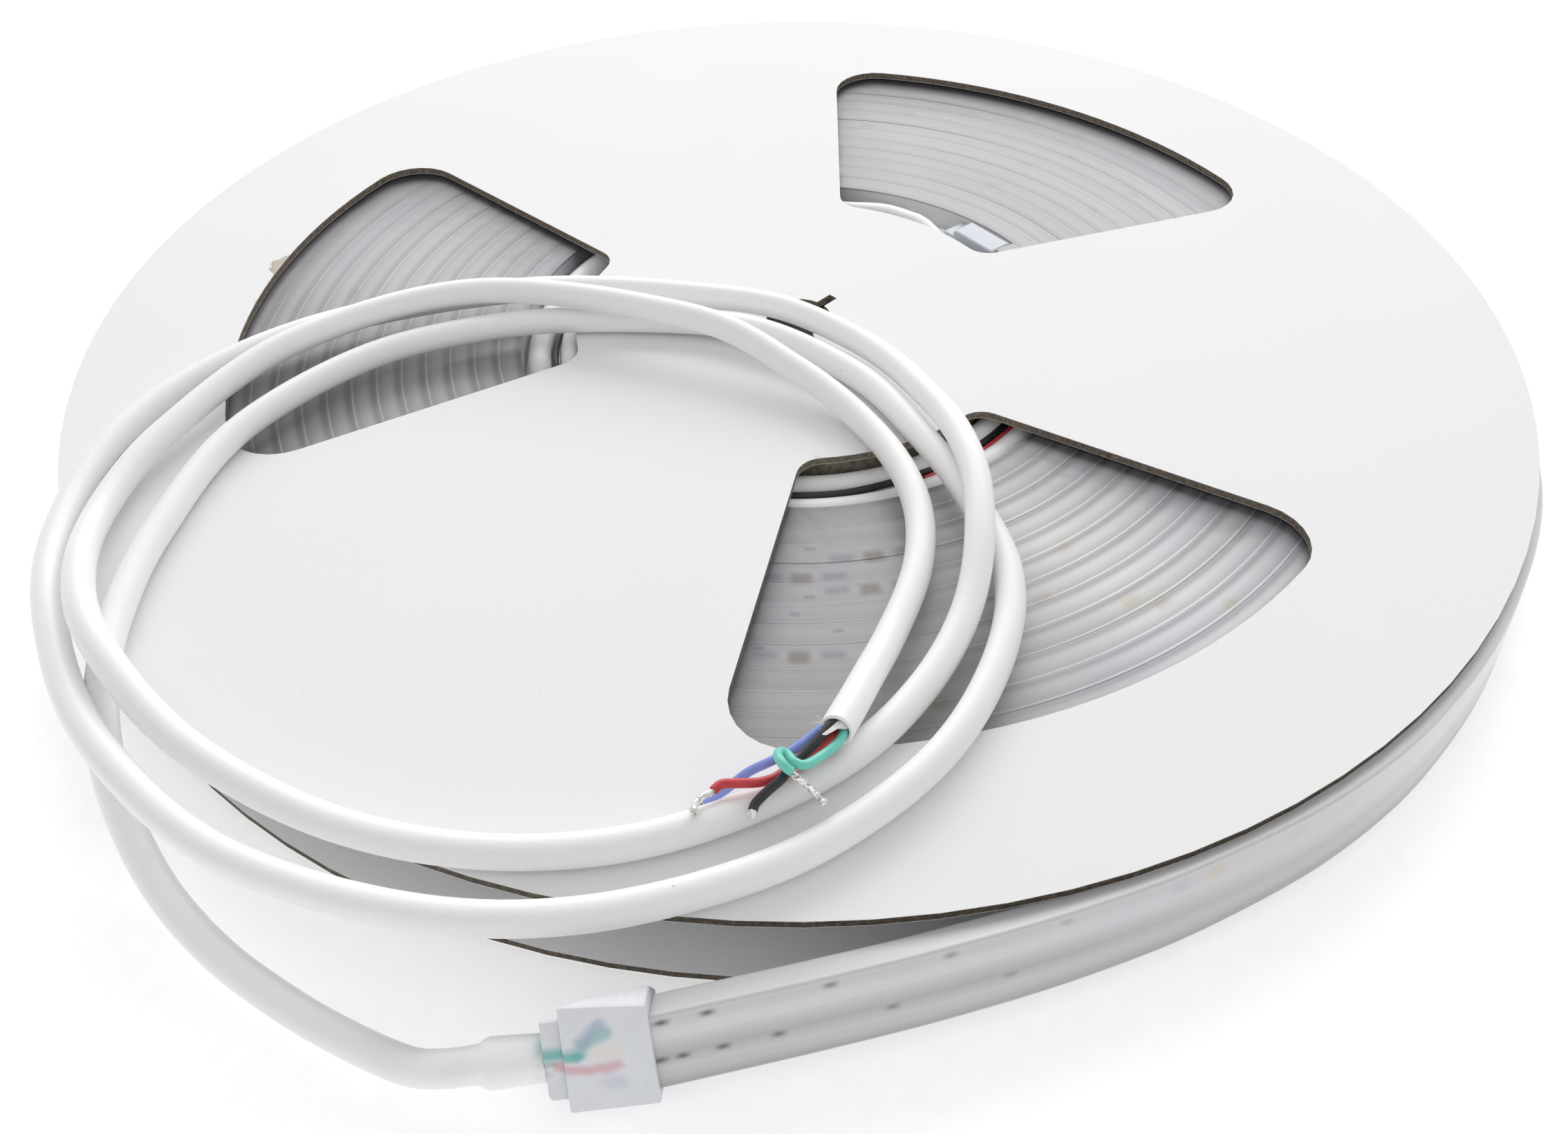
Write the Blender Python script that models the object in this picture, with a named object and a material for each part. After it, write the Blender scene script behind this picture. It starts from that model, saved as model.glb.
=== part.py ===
"""Reel of silicone sleeved LED strip light with its supply cable looped on top.

Two board flanges with three sector windows hold a hub ring and the wound strip.
The strip's outer end leaves the pack, runs round the rim and ends in a soft cap
with a boot and a four-core cable. The inner end has its own cap and cable.
Units are metres, +Z is the reel's axis, and z = 0 is the underside of the reel.
"""

import math

import bmesh
import bpy
from mathutils import Matrix, Vector

MM = 0.001

# Reel
FLANGE_RADIUS = 140.0 * MM
BOARD = 1.5 * MM
SEAT_GAP = 0.3 * MM
SPINDLE_RADIUS = 6.5 * MM
NOTCH_RADIUS = 10.2 * MM
NOTCH_WIDTH = 2.0 * MM
NOTCH_AZIMUTH = 46.0
WINDOWS = 3
WINDOW_AZIMUTH = 54.0
WINDOW_INNER_RADIUS = 44.5 * MM
WINDOW_OUTER_RADIUS = 111.0 * MM
WINDOW_EDGE_OFFSET = 15.7 * MM
WINDOW_EDGE_ANGLE = 35.6
WINDOW_INNER_FILLET = 5.0 * MM
WINDOW_OUTER_FILLET = 10.0 * MM
RIM_SEGMENTS = 96
HUB_WALL = 4.0 * MM
HUB_SETBACK = 1.7 * MM
HUB_SEGMENTS = 72

# Strip
SLEEVE_HEIGHT = 12.0 * MM
SLEEVE_THICKNESS = 4.5 * MM
SLEEVE_BEVEL = 0.9 * MM
TURNS = 16
TURN_AIR = 0.2 * MM
TURN_GROOVE = 0.7 * MM
PACK_CLEARANCE = 0.9 * MM
PACK_SEGMENTS = 40
CHANNEL_HEIGHT = 10.8 * MM
CHANNEL_DEPTH = 2.5 * MM
CHANNEL_BEVEL = 0.3 * MM
TAIL_SLACK = 0.1 * MM
TAPE_THICKNESS = 0.4 * MM
TAPE_BEVEL = 0.1 * MM
LED_SIDE = 5.0 * MM
LED_HEIGHT = 1.4 * MM
LED_PITCH = 16.6 * MM
TAPE_CLEARANCE = 0.3 * MM

# Outer end of the strip: azimuth in degrees, share of the way from the pack's outside to the
# flange's rim, and how far in millimetres its middle line runs beyond that
TAIL_ROUTE = (
    (78.0, 0.0, -2.0), (60.0, 0.0, -1.3), (40.0, 0.1, -0.2), (20.0, 0.4, -0.2), (0.0, 0.6, 0.4),
    (-20.0, 0.9, -0.4), (-35.0, 1.0, -0.3), (-47.0, 1.0, 0.7), (-57.0, 1.0, 1.3), (-67.0, 1.0, 1.7),
    (-75.0, 1.0, 2.8), (-82.5, 1.0, 4.9), (-89.0, 1.0, 8.0), (-94.0, 1.0, 11.5),
)
TAIL_STATIONS = 40
CAP_MOUTH_AZIMUTH = -97.07
CAP_RIM_DISTANCE = 14.3 * MM
CAP_HEADING = 186.5
CAP_LEAN = 5.0
LEAN_START = 0.6

# End caps, boot and cables
CAP_LENGTH = 12.0 * MM
CAP_HEIGHT = 15.0 * MM
CAP_THICKNESS = 7.0 * MM
CAP_BEVEL = 0.6 * MM
CAP_POCKET = 9.0 * MM
CAP_CLEARANCE = 0.3 * MM
NECK_LENGTH = 2.8 * MM
NECK_HEIGHT = 11.4 * MM
NECK_THICKNESS = 5.8 * MM
BOOT_LENGTH = 8.4 * MM
BOOT_SMALL_RADIUS = 3.2 * MM
BOOT_BIG_RADIUS = 3.45 * MM
BOOT_SHOULDER = 1.2 * MM
BOOT_ROUNDING = 0.15 * MM
BOOT_LIP = 0.1 * MM
SPIGOT_RADIUS = 2.0 * MM
SPIGOT_LENGTH = 1.8 * MM
CABLE_DIAMETER = 5.0 * MM
WIRE_DIAMETER = 1.4 * MM
CONDUCTOR_DIAMETER = 0.9 * MM
END_GAP = 0.3 * MM

# Inner cable: two lanes side by side round the hub, the second pair on the first
LANE_GAP = 1.3 * MM
LANE_CLEARANCE = 0.7 * MM
INNER_CABLE_RUN_OUT = 36.0
LANE_CHANGES = ((322.0, 384.0), (690.0, 750.0), (1125.0, 1182.0))
INNER_CABLE_END = 1424.0
INNER_CABLE_POINTS = 112
WIRE_LIFT_PAIR = 2.6 * MM
WIRE_LIFT_SINGLE = 1.8 * MM
BLACK_PAIR_AZIMUTHS = (340.0, 326.0, 312.0, 300.0)
BLACK_SINGLE_AZIMUTHS = (278.0, 256.0, 233.0, 210.0, 188.0, 166.0)
RED_PAIR_AZIMUTHS = (338.0, 324.0, 310.0, 297.0)
BLACK_POINTS = 40
RED_POINTS = 16
INNER_CAP_AZIMUTH = 39.5
INNER_CAP_HEIGHT = 12.0 * MM
INNER_CAP_THICKNESS = 6.0 * MM

# Supply cable from the boot to the stripped end, in millimetres
CABLE_ROUTE = (
    (-42.5, -155.8, 7.8), (-45.5, -156.0, 7.5), (-51.4, -154.3, 4.9), (-61.1, -149.3, 2.9),
    (-70.6, -143.9, 2.6), (-81.6, -136.4, 2.8), (-91.4, -127.6, 5.0), (-98.4, -118.4, 9.6),
    (-102.6, -109.8, 14.2), (-105.4, -99.6, 17.9), (-107.7, -85.0, 18.6), (-107.4, -65.0, 18.3),
    (-101.3, -38.8, 18.3), (-83.5, -17.2, 18.3), (-62.4, -7.3, 18.3), (-39.7, -4.4, 18.3),
    (-12.3, -7.7, 18.3), (10.1, -22.6, 18.3), (22.7, -43.2, 18.3), (30.3, -61.9, 18.3),
    (33.6, -77.2, 18.3), (31.1, -93.0, 18.3), (23.0, -110.0, 18.3), (11.0, -123.2, 18.3),
    (-5.9, -133.9, 18.3), (-29.8, -140.3, 18.0), (-54.0, -138.9, 17.8), (-80.2, -129.8, 18.6),
    (-100.8, -112.9, 20.6), (-115.0, -91.5, 19.6), (-123.7, -68.2, 18.3), (-123.1, -42.0, 18.3),
    (-110.4, -19.1, 18.3), (-86.6, -2.4, 18.3), (-51.1, 6.7, 18.3), (-14.7, 2.3, 18.3),
    (10.9, -13.3, 19.2), (23.9, -34.6, 21.4), (29.0, -53.3, 23.6), (29.3, -70.4, 22.9),
    (26.2, -85.7, 19.5), (18.5, -101.0, 18.3), (6.6, -114.6, 18.3), (-10.7, -124.9, 18.3),
    (-28.4, -130.0, 18.3), (-48.2, -129.8, 18.3), (-68.3, -124.2, 18.7), (-88.7, -112.9, 20.8),
    (-103.9, -98.2, 24.2), (-113.0, -82.7, 23.2), (-117.8, -62.5, 19.6), (-113.2, -40.8, 19.8),
    (-96.0, -14.9, 21.2), (-62.7, -1.2, 23.0), (-21.8, -11.3, 23.8), (-0.9, -24.2, 20.7),
    (12.7, -39.6, 18.5), (19.4, -56.9, 18.3), (19.3, -74.0, 18.3), (13.4, -92.3, 18.9),
    (5.4, -111.3, 23.0),
)
CABLE_POINTS = 80
WIRE_POINTS = 22
TIP_POINTS = 5
CURVE_STEPS = 24

# Stripped wires, each from the cable's end to its tinned tip, in millimetres
WIRES = {
    "blue": (
        ((4.2, -111.4, 23.1), (3.5, -112.8, 23.5), (0.3, -115.5, 22.8), (-1.9, -116.9, 22.2),
         (-4.6, -117.8, 21.3), (-7.6, -118.4, 19.8), (-10.5, -119.9, 18.2), (-13.0, -121.2, 17.2),
         (-13.8, -121.7, 17.0)),
        ((-14.1, -121.9, 16.9), (-14.7, -122.3, 16.7)),
    ),
    "red": (
        ((5.1, -112.0, 22.0), (4.5, -113.5, 22.3), (2.9, -114.9, 21.8), (0.8, -116.9, 21.6),
         (-1.6, -118.9, 21.6), (-3.7, -120.9, 21.8), (-6.1, -121.9, 22.0), (-8.9, -122.0, 22.0),
         (-11.1, -122.0, 21.8), (-12.2, -123.0, 21.7)),
        ((-12.5, -123.3, 21.6), (-13.6, -123.9, 21.6), (-14.6, -125.3, 21.7), (-14.8, -126.7, 21.8)),
    ),
    "black": (
        ((5.3, -111.6, 24.2), (4.6, -113.1, 24.6), (2.0, -116.4, 24.0), (0.1, -118.4, 23.5),
         (-1.6, -120.1, 23.3), (-2.7, -122.1, 23.2), (-4.5, -123.6, 22.6), (-6.3, -125.3, 21.9),
         (-6.7, -126.3, 21.6)),
        ((-6.8, -126.6, 21.4), (-7.0, -127.1, 21.1)),
    ),
    "green": (
        ((6.2, -112.2, 23.1), (5.6, -113.7, 23.5), (5.3, -116.1, 23.2), (3.2, -118.5, 23.6),
         (0.6, -120.9, 24.6), (-1.0, -120.7, 24.9), (-2.0, -119.2, 24.7), (-2.8, -118.8, 24.9),
         (-3.3, -119.7, 25.4), (-3.0, -121.1, 25.9), (-2.3, -122.2, 25.8), (-1.5, -122.3, 25.0)),
        ((-1.2, -122.4, 24.5), (0.2, -122.9, 23.0), (1.5, -123.8, 22.2), (2.6, -124.9, 21.6)),
    ),
}

GAP_HEIGHT = SLEEVE_HEIGHT + 2.0 * SEAT_GAP
REEL_HEIGHT = GAP_HEIGHT + 2.0 * BOARD
MIDDLE_Z = REEL_HEIGHT / 2.0
PACK_BOTTOM = BOARD + SEAT_GAP
PACK_TOP = PACK_BOTTOM + SLEEVE_HEIGHT
PITCH = SLEEVE_THICKNESS + TURN_AIR
HUB_RADIUS = WINDOW_INNER_RADIUS - HUB_SETBACK
INNER_LANE = HUB_RADIUS + LANE_CLEARANCE + CABLE_DIAMETER / 2.0
OUTER_LANE = INNER_LANE + CABLE_DIAMETER + LANE_GAP
PACK_INNER = OUTER_LANE + CABLE_DIAMETER / 2.0 + PACK_CLEARANCE
PACK_OUTER = PACK_INNER + TURNS * PITCH

# The loose turn runs outside the flange's rim, and at least its own thickness outside the pack
RIM_OVERHANG = max(FLANGE_RADIUS - PACK_OUTER, SLEEVE_THICKNESS)


def clear_scene():
    for item in list(bpy.data.objects):
        bpy.data.objects.remove(item, do_unlink=True)


def material(name, colour, roughness, metallic=0.0):
    made = bpy.data.materials.new(name)
    made.use_nodes = True
    shader = made.node_tree.nodes["Principled BSDF"]
    shader.inputs["Base Color"].default_value = (*colour, 1.0)
    shader.inputs["Roughness"].default_value = roughness
    shader.inputs["Metallic"].default_value = metallic
    made.diffuse_color = (*colour, 1.0)
    return made


def add_object(name, data, finish):
    made = bpy.data.objects.new(name, data)
    bpy.context.scene.collection.objects.link(made)
    data.materials.append(finish)
    return made


def mesh_object(name, shape, finish, smooth_angle=None):
    bmesh.ops.recalc_face_normals(shape, faces=shape.faces[:])
    data = bpy.data.meshes.new(name)
    shape.to_mesh(data)
    shape.free()
    made = add_object(name, data, finish)
    if smooth_angle is not None:
        data.shade_smooth()
        data.set_sharp_from_angle(angle=math.radians(smooth_angle))
    return made


def polar(radius, degrees):
    angle = math.radians(degrees)
    return Vector((radius * math.cos(angle), radius * math.sin(angle)))


def arc(centre, start, end, steps):
    """Points of the short arc from start to end round centre, both ends included."""
    first = math.atan2(start.y - centre.y, start.x - centre.x)
    last = math.atan2(end.y - centre.y, end.x - centre.x)
    sweep = (last - first + math.pi) % (2.0 * math.pi) - math.pi
    radius = (start - centre).length
    points = []
    for index in range(steps + 1):
        angle = first + sweep * index / steps
        points.append(centre + Vector((math.cos(angle), math.sin(angle))) * radius)
    return points


def circle(radius, steps):
    return [polar(radius, 360.0 * index / steps) for index in range(steps)]


def spline_points(route, count):
    """Evenly spaced points on a smooth Catmull-Rom curve through the route."""
    knots = [Vector(point) for point in route]
    knots.insert(0, knots[0] * 2.0 - knots[1])
    knots.append(knots[-1] * 2.0 - knots[-2])
    dense = []
    for index in range(1, len(knots) - 2):
        before, here, there, after = knots[index - 1:index + 3]
        for step in range(CURVE_STEPS):
            t = step / CURVE_STEPS
            dense.append(
                (here * 2.0 + (there - before) * t
                 + (before * 2.0 - here * 5.0 + there * 4.0 - after) * t ** 2
                 + (here * 3.0 - before - there * 3.0 + after) * t ** 3) * 0.5
            )
    dense.append(knots[-2])
    lengths = [0.0]
    for first, second in zip(dense, dense[1:]):
        lengths.append(lengths[-1] + (second - first).length)
    points = []
    index = 0
    for step in range(count):
        wanted = lengths[-1] * step / (count - 1)
        while index < len(dense) - 2 and lengths[index + 1] < wanted:
            index += 1
        span = lengths[index + 1] - lengths[index]
        points.append(dense[index].lerp(dense[index + 1], (wanted - lengths[index]) / span))
    return points


def tube(name, points, diameter, finish, sides_step=2):
    data = bpy.data.curves.new(name, "CURVE")
    data.dimensions = "3D"
    line = data.splines.new("POLY")
    line.points.add(len(points) - 1)
    for target, point in zip(line.points, points):
        target.co = (*point, 1.0)
    data.bevel_depth = diameter / 2.0
    data.bevel_resolution = sides_step
    data.use_fill_caps = True
    data.render_resolution_u = 0
    return add_object(name, data, finish)


def lathe(name, profile, segments, finish, smooth_angle=30.0):
    """Turn a closed profile of (radius, height) points round the Z axis."""
    shape = bmesh.new()
    rows = []
    for index in range(segments):
        turn = 2.0 * math.pi * index / segments
        rows.append([shape.verts.new((r * math.cos(turn), r * math.sin(turn), z)) for r, z in profile])
    count = len(profile)
    for index in range(segments):
        near = rows[index]
        far = rows[(index + 1) % segments]
        for step in range(count):
            other = (step + 1) % count
            shape.faces.new((near[step], far[step], far[other], near[other]))
    return mesh_object(name, shape, finish, smooth_angle)


def lathe_solid(shape, profile, segments):
    """Turn an open profile that starts and ends on the X axis round that axis."""
    first = shape.verts.new((profile[0][0], 0.0, 0.0))
    last = shape.verts.new((profile[-1][0], 0.0, 0.0))
    rows = []
    for x, radius in profile[1:-1]:
        ring = []
        for index in range(segments):
            turn = 2.0 * math.pi * index / segments
            ring.append(shape.verts.new((x, radius * math.cos(turn), radius * math.sin(turn))))
        rows.append(ring)
    for index in range(segments):
        other = (index + 1) % segments
        shape.faces.new((first, rows[0][other], rows[0][index]))
        shape.faces.new((last, rows[-1][index], rows[-1][other]))
        for near, far in zip(rows, rows[1:]):
            shape.faces.new((near[index], near[other], far[other], far[index]))


def window_outline(azimuth):
    """One sector window with rounded corners, as points in the board's plane."""
    tilt = math.radians(WINDOW_EDGE_ANGLE)
    along = Vector((math.cos(tilt), math.sin(tilt)))
    inward = Vector((math.sin(tilt), -math.cos(tilt)))
    start = Vector((WINDOW_EDGE_OFFSET, 0.0))

    def fillet_centre(reach, fillet):
        base = start + inward * fillet
        half = base.dot(along)
        travel = -half + math.sqrt(half ** 2 - base.length_squared + reach ** 2)
        return base + along * travel

    inner = fillet_centre(WINDOW_INNER_RADIUS + WINDOW_INNER_FILLET, WINDOW_INNER_FILLET)
    outer = fillet_centre(WINDOW_OUTER_RADIUS - WINDOW_OUTER_FILLET, WINDOW_OUTER_FILLET)
    centre = Vector((0.0, 0.0))
    inner_start = Vector((WINDOW_INNER_RADIUS, 0.0))
    outer_end = Vector((WINDOW_OUTER_RADIUS, 0.0))
    inner_touch = inner.normalized() * WINDOW_INNER_RADIUS
    outer_touch = outer.normalized() * WINDOW_OUTER_RADIUS
    half = arc(centre, inner_start, inner_touch, 5)
    half += arc(inner, inner_touch, inner - inward * WINDOW_INNER_FILLET, 5)[1:]
    half += arc(outer, outer - inward * WINDOW_OUTER_FILLET, outer_touch, 7)
    half += arc(centre, outer_touch, outer_end, 9)[1:]
    mirrored = [Vector((point.x, -point.y)) for point in half[-2:0:-1]]
    turn = Matrix.Rotation(math.radians(azimuth), 2)
    return [turn @ point for point in half + mirrored]


def spindle_outline():
    """The spindle hole with its three driving notches."""
    half_width = NOTCH_WIDTH / 2.0
    foot = math.sqrt(SPINDLE_RADIUS ** 2 - half_width ** 2)
    foot_angle = math.degrees(math.asin(half_width / SPINDLE_RADIUS))
    points = []
    for index in range(WINDOWS):
        middle = NOTCH_AZIMUTH + 360.0 * index / WINDOWS
        turn = Matrix.Rotation(math.radians(middle), 2)
        for corner in ((foot, -half_width), (NOTCH_RADIUS, -half_width), (NOTCH_RADIUS, half_width),
                       (foot, half_width)):
            points.append(turn @ Vector(corner))
        first = middle + foot_angle
        last = middle + 360.0 / WINDOWS - foot_angle
        for step in range(1, 8):
            points.append(polar(SPINDLE_RADIUS, first + (last - first) * step / 8.0))
    return points


def flange(name, bottom, finish):
    """A board disc with the windows and the spindle hole cut through."""
    outlines = [circle(FLANGE_RADIUS, RIM_SEGMENTS), spindle_outline()]
    for index in range(WINDOWS):
        outlines.append(window_outline(WINDOW_AZIMUTH + 360.0 * index / WINDOWS))
    shape = bmesh.new()
    edges = []
    for outline in outlines:
        corners = [shape.verts.new((point.x, point.y, bottom)) for point in outline]
        for index, corner in enumerate(corners):
            edges.append(shape.edges.new((corner, corners[(index + 1) % len(corners)])))
    bmesh.ops.triangle_fill(shape, use_beauty=True, edges=edges)
    grown = bmesh.ops.extrude_face_region(shape, geom=shape.faces[:])
    lifted = [item for item in grown["geom"] if isinstance(item, bmesh.types.BMVert)]
    bmesh.ops.translate(shape, verts=lifted, vec=(0.0, 0.0, BOARD))
    return mesh_object(name, shape, finish)


def hub_core(finish):
    inner = HUB_RADIUS - HUB_WALL
    profile = ((inner, PACK_BOTTOM), (HUB_RADIUS, PACK_BOTTOM), (HUB_RADIUS, PACK_TOP), (inner, PACK_TOP))
    return lathe("hub_core", profile, HUB_SEGMENTS, finish)


def winding(finish):
    """The wound pack: one ring whose two ends show a groove between the turns."""
    top = []
    for turn in range(TURNS):
        inside = PACK_INNER + turn * PITCH
        top.append((inside, PACK_TOP - TURN_GROOVE))
        top.append((inside + SLEEVE_BEVEL, PACK_TOP))
        top.append((inside + PITCH - SLEEVE_BEVEL, PACK_TOP))
    top.append((PACK_OUTER, PACK_TOP - TURN_GROOVE))
    bottom = [(radius, 2.0 * MIDDLE_Z - height) for radius, height in reversed(top)]
    return lathe("strip_sleeve", top + bottom, PACK_SEGMENTS, finish, 25.0)


def cap_mouth():
    mouth = polar(PACK_OUTER + RIM_OVERHANG + CAP_RIM_DISTANCE, CAP_MOUTH_AZIMUTH)
    return Vector((mouth.x, mouth.y, MIDDLE_Z))


def tail_line():
    """Middle line of the loose outer turn, from inside the pack to the cap's mouth."""
    route = []
    for degrees, share, beyond in TAIL_ROUTE:
        place = polar(PACK_OUTER + RIM_OVERHANG * share + beyond * MM, degrees)
        route.append((place.x, place.y, MIDDLE_Z))
    route.append(cap_mouth())
    return spline_points(route, TAIL_STATIONS)


def heading_vector():
    return polar(1.0, CAP_HEADING)


def tail_frames(points, insert):
    """Place, outward direction and upward direction at each station of the tail."""
    frames = []
    last = len(points) - 1
    for index, point in enumerate(points):
        if index == last:
            along = heading_vector().to_3d()
        else:
            along = (points[min(index + 1, last)] - points[max(index - 1, 0)]).normalized()
        outward = Vector((0.0, 0.0, 1.0)).cross(along)
        if outward.dot(point) < 0.0:
            outward = -outward
        share = max(0.0, (index / last - LEAN_START) / (1.0 - LEAN_START))
        lean = math.radians(CAP_LEAN) * share ** 2
        up = Vector((0.0, 0.0, 1.0)) * math.cos(lean) - outward * math.sin(lean)
        out = outward * math.cos(lean) + Vector((0.0, 0.0, 1.0)) * math.sin(lean)
        frames.append((point, out, up))
    place, out, up = frames[-1]
    frames.append((place + heading_vector().to_3d() * insert, out, up))
    return frames


def first_free_station(frames):
    """First station where the sleeve's channel is clear of the wound pack."""
    free = PACK_OUTER + CHANNEL_DEPTH / 2.0 + TAPE_CLEARANCE
    return next(index for index, frame in enumerate(frames) if frame[0].xy.length > free)


def section(width_out, height_up, bevel, shift=0.0):
    """A rectangle with bevelled corners: distances outward and upward."""
    half_out = width_out / 2.0
    half_up = height_up / 2.0
    corners = []
    for side_out, side_up in ((1, 1), (-1, 1), (-1, -1), (1, -1)):
        first = (side_out * half_out, side_up * (half_up - bevel))
        second = (side_out * (half_out - bevel), side_up * half_up)
        pair = (first, second) if side_out * side_up > 0 else (second, first)
        corners.extend(pair)
    return [(out + shift, up) for out, up in corners]


def loft_rows(shape, frames, outline):
    rows = []
    for place, out, up in frames:
        rows.append([shape.verts.new(place + out * across + up * high) for across, high in outline])
    for near, far in zip(rows, rows[1:]):
        for index in range(len(outline)):
            other = (index + 1) % len(outline)
            shape.faces.new((near[index], near[other], far[other], far[index]))
    return rows


def tail_sleeve(frames, finish):
    """The hollow sleeve of the loose turn, open where it enters the cap."""
    shape = bmesh.new()
    skin = loft_rows(shape, frames, section(SLEEVE_THICKNESS, SLEEVE_HEIGHT - TAIL_SLACK, SLEEVE_BEVEL))
    inside = section(CHANNEL_DEPTH, CHANNEL_HEIGHT, CHANNEL_BEVEL)
    channel = loft_rows(shape, frames[first_free_station(frames):], inside)
    shape.faces.new(skin[0])
    shape.faces.new(channel[0])
    count = len(skin[-1])
    for index in range(count):
        other = (index + 1) % count
        shape.faces.new((skin[-1][index], skin[-1][other], channel[-1][other], channel[-1][index]))
    return mesh_object("tail_sleeve", shape, finish, 30.0)


def box_mesh(shape, low, high):
    """A box between two corners, added to a mesh that is being built."""
    size = Vector(high) - Vector(low)
    middle = (Vector(high) + Vector(low)) / 2.0
    place = Matrix.Translation(middle) @ Matrix.Diagonal((*size, 1.0))
    return bmesh.ops.create_cube(shape, size=1.0, matrix=place)["verts"]


def add_boolean(target, other, operation):
    step = target.modifiers.new(operation.lower(), "BOOLEAN")
    step.operation = operation
    step.object = other
    step.solver = "EXACT"
    other.hide_render = True
    other.display_type = "WIRE"


def led_tape(frames, finish):
    """The flexible circuit in the loose turn, with its lamp packages in a row."""
    inset = CHANNEL_DEPTH / 2.0 - TAPE_CLEARANCE - TAPE_THICKNESS / 2.0
    shape = bmesh.new()
    height = CHANNEL_HEIGHT - 2.0 * TAPE_CLEARANCE
    rows = loft_rows(shape, frames, section(TAPE_THICKNESS, height, TAPE_BEVEL, -inset))
    shape.faces.new(rows[0])
    shape.faces.new(rows[-1])
    tape = mesh_object("led_tape", shape, finish)
    lamps = bmesh.new()
    travel = 0.0
    wanted = LED_PITCH
    for (place, out, up), (following, _, _) in zip(frames, frames[1:]):
        span = (following - place).length
        while wanted <= travel + span:
            along = (following - place).normalized()
            middle = place.lerp(following, (wanted - travel) / span)
            turn = Matrix((along, out, up)).transposed().to_4x4()
            low = (-LED_SIDE / 2.0, -inset, -LED_SIDE / 2.0)
            high = (LED_SIDE / 2.0, -inset + TAPE_THICKNESS / 2.0 + LED_HEIGHT, LED_SIDE / 2.0)
            made = box_mesh(lamps, low, high)
            bmesh.ops.transform(lamps, matrix=Matrix.Translation(middle) @ turn, verts=made)
            wanted += LED_PITCH
        travel += span
    packages = mesh_object("led_packages", lamps, finish)
    add_boolean(tape, packages, "UNION")
    return tape


def rounded_box(name, low, high, bevel, finish):
    shape = bmesh.new()
    box_mesh(shape, low, high)
    bmesh.ops.bevel(shape, geom=shape.edges[:], offset=bevel, segments=2, affect="EDGES", profile=0.5)
    return mesh_object(name, shape, finish)


def end_cap(name, place, heading, lean, thickness, height, finish):
    """Moulded cap, mouth at the local origin and neck towards local +X."""
    half_t = thickness / 2.0
    half_h = height / 2.0
    body = rounded_box(name, (0.0, -half_t, -half_h), (CAP_LENGTH, half_t, half_h), CAP_BEVEL, finish)
    neck_t = min(NECK_THICKNESS, thickness) / 2.0
    neck_h = NECK_HEIGHT / 2.0 * height / CAP_HEIGHT
    neck_end = CAP_LENGTH + NECK_LENGTH
    neck = rounded_box(name + "_neck", (CAP_LENGTH - CAP_BEVEL * 2.0, -neck_t, -neck_h),
                       (neck_end, neck_t, neck_h), CAP_BEVEL / 2.0, finish)
    add_boolean(body, neck, "UNION")
    bore = bmesh.new()
    depth = neck_end - SPIGOT_LENGTH - CAP_CLEARANCE
    reach = SPIGOT_RADIUS + CAP_CLEARANCE
    lathe_solid(bore, ((depth, 0.0), (depth, reach), (neck_end + MM, reach), (neck_end + MM, 0.0)), 16)
    bore_cutter = mesh_object(name + "_bore", bore, finish)
    add_boolean(body, bore_cutter, "DIFFERENCE")
    parts = [body, neck, bore_cutter]
    if height > SLEEVE_HEIGHT + 2.0 * CAP_CLEARANCE:
        pocket_t = SLEEVE_THICKNESS / 2.0 + CAP_CLEARANCE
        pocket_h = SLEEVE_HEIGHT / 2.0 + CAP_CLEARANCE
        pocket = bmesh.new()
        box_mesh(pocket, (-MM, -pocket_t, -pocket_h), (CAP_POCKET, pocket_t, pocket_h))
        pocket_cutter = mesh_object(name + "_pocket", pocket, finish)
        add_boolean(body, pocket_cutter, "DIFFERENCE")
        parts.append(pocket_cutter)
    turn = Matrix.Rotation(math.radians(heading), 4, "Z") @ Matrix.Rotation(math.radians(lean), 4, "X")
    for piece in parts:
        piece.matrix_world = Matrix.Translation(place) @ turn
    return body


def inner_cap_place():
    """Middle of the inner cap's mouth face and the cap's distance from the reel's axis."""
    flat = PACK_INNER * math.cos(math.pi / PACK_SEGMENTS)
    sagitta = flat - math.sqrt(flat ** 2 - (CAP_LENGTH / 2.0) ** 2)
    radius = flat - SEAT_GAP - INNER_CAP_THICKNESS / 2.0 - sagitta
    mouth = polar(radius, INNER_CAP_AZIMUTH) - polar(CAP_LENGTH / 2.0, INNER_CAP_AZIMUTH + 90.0)
    return Vector((mouth.x, mouth.y, MIDDLE_Z)), radius


def cable_boot(place, heading, finish):
    """Strain relief on the cable: a spigot in the cap, a cone and a round shoulder."""
    start = CAP_LENGTH + NECK_LENGTH
    end = start + BOOT_LENGTH
    profile = (
        (start - SPIGOT_LENGTH, 0.0), (start - SPIGOT_LENGTH, SPIGOT_RADIUS),
        (start + END_GAP, SPIGOT_RADIUS), (start + END_GAP, BOOT_SMALL_RADIUS),
        (end - BOOT_SHOULDER, BOOT_BIG_RADIUS),
        (end - BOOT_SHOULDER * 0.4, BOOT_BIG_RADIUS - BOOT_ROUNDING),
        (end, CABLE_DIAMETER / 2.0 + BOOT_LIP), (end, 0.0),
    )
    shape = bmesh.new()
    lathe_solid(shape, profile, 24)
    made = mesh_object("cable_boot", shape, finish, 30.0)
    made.location = place
    made.rotation_euler = (0.0, 0.0, math.radians(heading))
    return made


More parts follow.
